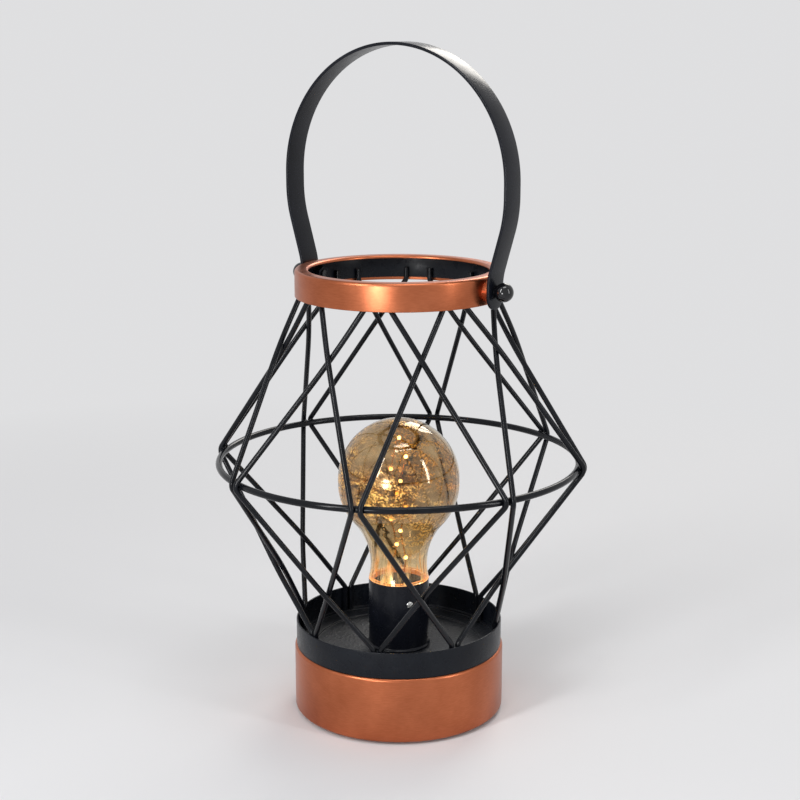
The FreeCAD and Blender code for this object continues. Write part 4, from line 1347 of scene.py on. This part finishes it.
@dataclass
class Neck:
    """The copper neck trim and the black hoop inside it."""

    wardrobe: Wardrobe
    sheet: float = 0.8 * MM
    lip_radius: float = 43.35 * MM
    lip_roll: float = 1.4 * MM
    edge_round: float = 1.5 * MM
    foot_round: float = 0.3 * MM
    tuck: float = 0.05 * MM
    sides: int = 192
    trim_steps: int = 8
    liner_steps: int = 3

    def __post_init__(self) -> None:
        """Read the places of trim and hoop from the frame."""
        low, high = box_of("neck_trim")
        self.low = low.z
        self.top = high.z
        self.radius = high.x
        self.liner_low, self.liner_top = (corner.z for corner in box_of("neck_liner"))

    def trim(self) -> None:
        """Build the trim with its flat top and rolled inner lip."""
        inner = self.radius - self.sheet
        corners = [
            (self.radius, self.low, self.foot_round),
            (self.radius, self.top, self.edge_round),
            (self.lip_radius, self.top, self.lip_roll),
            (self.lip_radius, self.top - self.lip_roll, 0),
            (self.lip_radius + self.sheet, self.top - self.lip_roll, 0),
            (self.lip_radius + self.sheet, self.top - self.sheet, self.lip_roll - self.sheet),
            (inner, self.top - self.sheet, self.edge_round - self.sheet),
            (inner, self.low, self.foot_round),
        ]
        piece = Shape().lathe(rounded(corners, self.trim_steps), self.sides).piece("neck_collar")
        self.wardrobe.dress(piece, Slot.COPPER, "neck_trim", finish=self.wardrobe.copper)

    def liner(self) -> None:
        """Build the black hoop that the rods are welded to."""
        outer = self.radius - self.sheet - self.tuck
        inner = outer - self.sheet
        corners = [(outer, self.liner_low, 0), (outer, self.liner_top, 0), (inner, self.liner_top, 0),
                   (inner, self.liner_low, 0)]
        piece = Shape().lathe(rounded(corners, self.liner_steps), self.sides).piece("neck_hoop")
        self.wardrobe.dress(piece, Slot.BLACK, "neck_liner", finish=self.wardrobe.tray)

    def build(self) -> None:
        """Build the trim and the hoop."""
        self.trim()
        self.liner()


@dataclass
class Handle:
    """The flat strap handle and its two pivots."""

    wardrobe: Wardrobe
    width: float = 13.0 * MM
    thickness: float = 1.5 * MM
    edge: float = 0.45 * MM
    edge_steps: int = 4
    tip: float = 0.35 * MM
    ear: float = 53.0 * MM
    ear_drop: float = 2.0 * MM
    ear_steps: int = 14
    ear_bend: float = 30.0 * MM
    ear_bend_steps: int = 10
    shoulder: float = 35.3 * MM
    lean: float = 16.2
    shoulder_bend: float = 60.0 * MM
    shoulder_steps: int = 24
    crown_steps: int = 48
    crease: float = 40.0
    run_gap: float = 0.05 * MM
    bolt_radius: float = 2.0 * MM
    bolt_inner: float = 44.13 * MM
    bolt_chamfer: float = 0.3 * MM
    bolt_sides: int = 48
    collar_radius: float = 3.0 * MM
    collar_length: float = 0.8 * MM
    head_radius: float = 4.5 * MM
    head_out: float = 4.2 * MM
    head_face: float = 1.1 * MM
    head_steps: int = 24

    def __post_init__(self) -> None:
        """Read the strap's reach from the frame."""
        low, high = box_of("handle_strap")
        self.low = low.z
        self.pivot_z = low.z + self.width / 2 + self.ear_drop
        self.side = high.x - self.thickness / 2
        self.crown = high.z - self.thickness / 2

    def half_path(self) -> list[Point]:
        """Follow the right half of the strap.

        Returns:
            The middle line's points, from the ear's end to the crown.
        """
        ear = self.ear + self.thickness / 2
        shoulder = self.pivot_z + self.shoulder
        bend = shoulder - (self.side - ear) / math.tan(math.radians(self.lean))
        foot, knee, hip, crown = (ear, self.low), (ear, bend), (self.side, shoulder), (self.side, self.crown)
        end_round = arc_points((0, self.low + self.width / 2), self.width / 2, -90, 0, self.ear_steps)
        path = [(ear, height) for _, height in end_round]
        path += corner_points(foot, knee, hip, self.ear_bend, self.ear_bend_steps)
        path += corner_points(knee, hip, crown, self.shoulder_bend, self.shoulder_steps)
        return path + arc_points((0, self.crown - self.side), self.side, 0, 90, self.crown_steps)

    def half_width(self, point: Vector) -> float:
        """Return half the strap's width, which is round at both ears.

        Args:
            point: The place on the middle line.

        Returns:
            Half the width there, never less than the tip's.
        """
        half = self.width / 2
        rise = point.z - self.low
        if rise < half and abs(point.x) < self.ear + self.thickness:
            return math.sqrt(max(half ** 2 - (half - rise) ** 2, self.tip ** 2))
        return half

    def section(self, centre: Vector, normal: Vector, half: float) -> list[Vector]:
        """Return the strap's rounded rectangle across its middle line.

        Args:
            centre: The place on the middle line.
            normal: The direction out of the strap's face.
            half: Half the strap's width there.

        Returns:
            The loop's points.
        """
        depth = self.thickness / 2
        edge = min(self.edge, half / 2)
        loop = []
        for sign_w, sign_n, start in ((1, 1, 0), (-1, 1, 90), (-1, -1, 180), (1, -1, 270)):
            corner = (sign_w * (half - edge), sign_n * (depth - edge))
            for wide, deep in arc_points(corner, edge, start, start + 90, self.edge_steps):
                loop.append(centre + Vector((0, wide, 0)) + normal * deep)
        return loop

    def strap(self) -> None:
        """Build the strap as one loft with soft edges and rounded ears."""
        right = self.half_path()
        path = [Vector((x, 0, z)) for x, z in right + [(-x, z) for x, z in reversed(right[:-1])]]
        ends = [path[0]] + path + [path[-1]]
        loops = []
        for before, point, after in zip(ends, path, ends[2:]):
            normal = (after - before).normalized().cross(Vector((0, 1, 0)))
            loops.append(self.section(point, normal, self.half_width(point)))
        piece = Shape().loft(loops).piece("strap_handle", self.crease)
        self.wardrobe.dress(piece, Slot.BLACK, "handle_strap", finish=self.wardrobe.strap, body=Body.HANDLE)

    def bolt_outline(self) -> list[Point]:
        """Draw a bolt along its axis.

        Returns:
            The outline's points, from the inner end to the top of the dome.
        """
        flat = self.ear + self.thickness + self.run_gap
        centre = self.ear + self.thickness + self.head_out
        start = math.degrees(math.asin((flat + self.head_face - centre) / self.head_radius))
        shank = [(0, self.bolt_inner), (self.bolt_radius - self.bolt_chamfer, self.bolt_inner),
                 (self.bolt_radius, self.bolt_inner + self.bolt_chamfer), (self.bolt_radius, flat)]
        collar = [(self.collar_radius, flat), (self.collar_radius, flat + self.collar_length)]
        return shank + collar + arc_points((0, centre), self.head_radius, start, 90, self.head_steps)

    def pivots(self) -> None:
        """Build the bolts and coat the spacers and nuts."""
        bolts = Shape()
        for side in (1, -1):
            lie = Matrix.Translation(UP * self.pivot_z) @ Matrix.Rotation(math.radians(90 * side), 4, "Y")
            bolts.lathe(self.bolt_outline(), self.bolt_sides, lie)
        self.wardrobe.dress(bolts.piece("dome_bolts"), Slot.BLACK, "pivot_bolts", finish=self.wardrobe.gloss)
        self.wardrobe.coat(self.wardrobe.copper, "pivot_spacers")
        self.wardrobe.coat(self.wardrobe.strap, "pivot_nuts")

    def build(self) -> None:
        """Build the strap and its pivots."""
        self.strap()
        self.pivots()


# ---------------------------------------------------------------------------- stage
@dataclass(frozen=True)
class Lamp:
    """A soft rectangular lamp that faces the lantern.

    Its azimuth is in degrees from the camera's, its height and its distance from the axis are in
    metres, its size is its width and height in metres, and its power is in watts.
    """

    name: str
    azimuth: float
    height: float
    distance: float
    size: Span
    power: float
    tone: Colour = (1.0, 1.0, 1.0)

    def build(self, camera_azimuth: float, aim: Vector) -> None:
        """Put the lamp up.

        Args:
            camera_azimuth: Where the camera stands, in degrees round from the front.
            aim: The point that the lamp faces.
        """
        data = bpy.data.lights.new(self.name, "AREA")
        data.shape = "RECTANGLE"
        data.size, data.size_y = self.size
        data.energy = self.power
        data.color = self.tone
        made = linked(self.name, data)
        made.location = polar(self.distance, FRONT + camera_azimuth + self.azimuth, self.height)
        made.rotation_euler = (aim - made.location).to_track_quat("-Z", "Y").to_euler()
        made.visible_camera = False


@dataclass
class Stage:
    """A pale floor that runs out into an even pale background, soft studio lamps and the camera."""

    camera_azimuth: float = 34.5
    camera_distance: float = 0.76775
    camera_height: float = 0.33498
    camera_pitch: float = 12.926
    focal_px: float = 1615.2
    image_px: int = 800
    sensor: float = 36.0
    centre_px: Point = (-1.2, -2.2)
    nearest: float = 0.01
    floor_tone: Colour = (0.8, 0.8, 0.81)
    floor_shade: float = 0.985
    floor_clouds: Cloud = Cloud(6.0)
    floor_rough: float = 0.75
    floor_radius: float = 4.0
    floor_sides: int = 64
    back_tone: Colour = (0.74, 0.74, 0.75)
    run_out: Fade = Fade(0.28, 0.72)
    sky_tone: Colour = (0.93, 0.95, 1.0)
    sky_strength: float = 0.3
    aim_height: float = 0.15
    lamps: tuple[Lamp, ...] = (
        Lamp("key", -44, 0.85, 1.15, (0.16, 0.9), 8),
        Lamp("front", -22, 0.17, 1.0, (0.26, 0.26), 3),
        Lamp("fill", 58, 0.6, 1.3, (0.12, 1.0), 4),
        Lamp("top", 20, 1.5, 0.4, (0.7, 0.35), 5),
        Lamp("rim", 160, 0.9, 1.1, (0.5, 0.5), 5, (1.0, 0.96, 0.9)),
    )

    def camera(self) -> None:
        """Place the camera where the photograph was taken from."""
        data = bpy.data.cameras.new("camera")
        data.sensor_width = self.sensor
        data.lens = self.focal_px * self.sensor / self.image_px
        data.shift_x = -self.centre_px[0] / self.image_px
        data.shift_y = self.centre_px[1] / self.image_px
        data.clip_start = self.nearest
        made = linked("camera", data)
        made.location = polar(self.camera_distance, FRONT + self.camera_azimuth, self.camera_height)
        made.rotation_euler = (math.radians(90 - self.camera_pitch), 0, math.radians(self.camera_azimuth))
        bpy.context.scene.camera = made

    def seen(self, tree: bpy.types.NodeTree) -> Link:
        """Tell the rays that show the background, straight or in metal and glass, from the rest.

        Args:
            tree: The node tree that asks.

        Returns:
            An output that is 1 for the rays that show it and 0 for the others.
        """
        rays = add_node(tree, "ShaderNodeLightPath", {}).outputs
        shown = rays["Is Camera Ray"]
        for kind in ("Is Glossy Ray", "Is Transmission Ray"):
            inputs = {0: shown, 1: rays[kind]}
            shown = add_node(tree, "ShaderNodeMath", inputs, operation="MAXIMUM").outputs["Value"]
        return shown

    def floor_paint(self) -> bpy.types.Material:
        """Make the floor's pale matte paint.

        Away from the lantern it fades into the background's even tone for the rays that show it.
        Near the lantern it is plain paint, which keeps the shadow.

        Returns:
            The material.
        """
        nodes = Nodes("pale floor")
        shaded = tuple(value * self.floor_shade for value in self.floor_tone)
        nodes.drive("Base Color", nodes.blend(nodes.noise(self.floor_clouds), shaded, self.floor_tone))
        nodes.fix("Roughness", self.floor_rough)
        even = nodes.add("ShaderNodeEmission", {"Color": (*self.back_tone, 1)})
        share = nodes.times(nodes.read(nodes.away(), self.run_out), self.seen(nodes.tree))
        shaders = {"Fac": share, 1: nodes.shader.outputs["BSDF"], 2: even.outputs["Emission"]}
        nodes.surface(nodes.add("ShaderNodeMixShader", shaders).outputs["Shader"])
        return nodes.material

    def floor(self) -> None:
        """Build the round floor."""
        mesh = bmesh.new()
        turns = [360 * step / self.floor_sides for step in range(self.floor_sides)]
        mesh.faces.new([mesh.verts.new(polar(self.floor_radius, turn, 0)) for turn in turns])
        data = bpy.data.meshes.new("stage_floor")
        mesh.to_mesh(data)
        mesh.free()
        data.materials.append(self.floor_paint())
        linked("stage_floor", data)

    def world(self) -> None:
        """Light the scene evenly from all round, and show the even pale tone as its background."""
        world = bpy.data.worlds.new("studio")
        world.use_nodes = True
        tree = world.node_tree
        tree.nodes.clear()
        sky = {"Color": (*self.sky_tone, 1), "Strength": self.sky_strength}
        soft = add_node(tree, "ShaderNodeBackground", sky)
        even = add_node(tree, "ShaderNodeBackground", {"Color": (*self.back_tone, 1)})
        shaders = {"Fac": self.seen(tree), 1: soft.outputs["Background"], 2: even.outputs["Background"]}
        shown = add_node(tree, "ShaderNodeMixShader", shaders)
        add_node(tree, "ShaderNodeOutputWorld", {"Surface": shown.outputs["Shader"]})
        bpy.context.scene.world = world

    def build(self) -> None:
        """Set up everything round the lantern."""
        bpy.context.scene.view_settings.view_transform = "Standard"
        self.camera()
        self.floor()
        self.world()
        for lamp in self.lamps:
            lamp.build(self.camera_azimuth, UP * self.aim_height)


def main() -> None:
    """Build the stage and every sub-assembly."""
    logging.basicConfig(level=logging.INFO, format="%(name)s %(message)s")
    Stage().build()
    wardrobe = Wardrobe()
    for assembly in (DrumBase, Socket, Bulb, Cage, Neck, Handle):
        assembly(wardrobe).build()


if __name__ == "__main__":
    main()
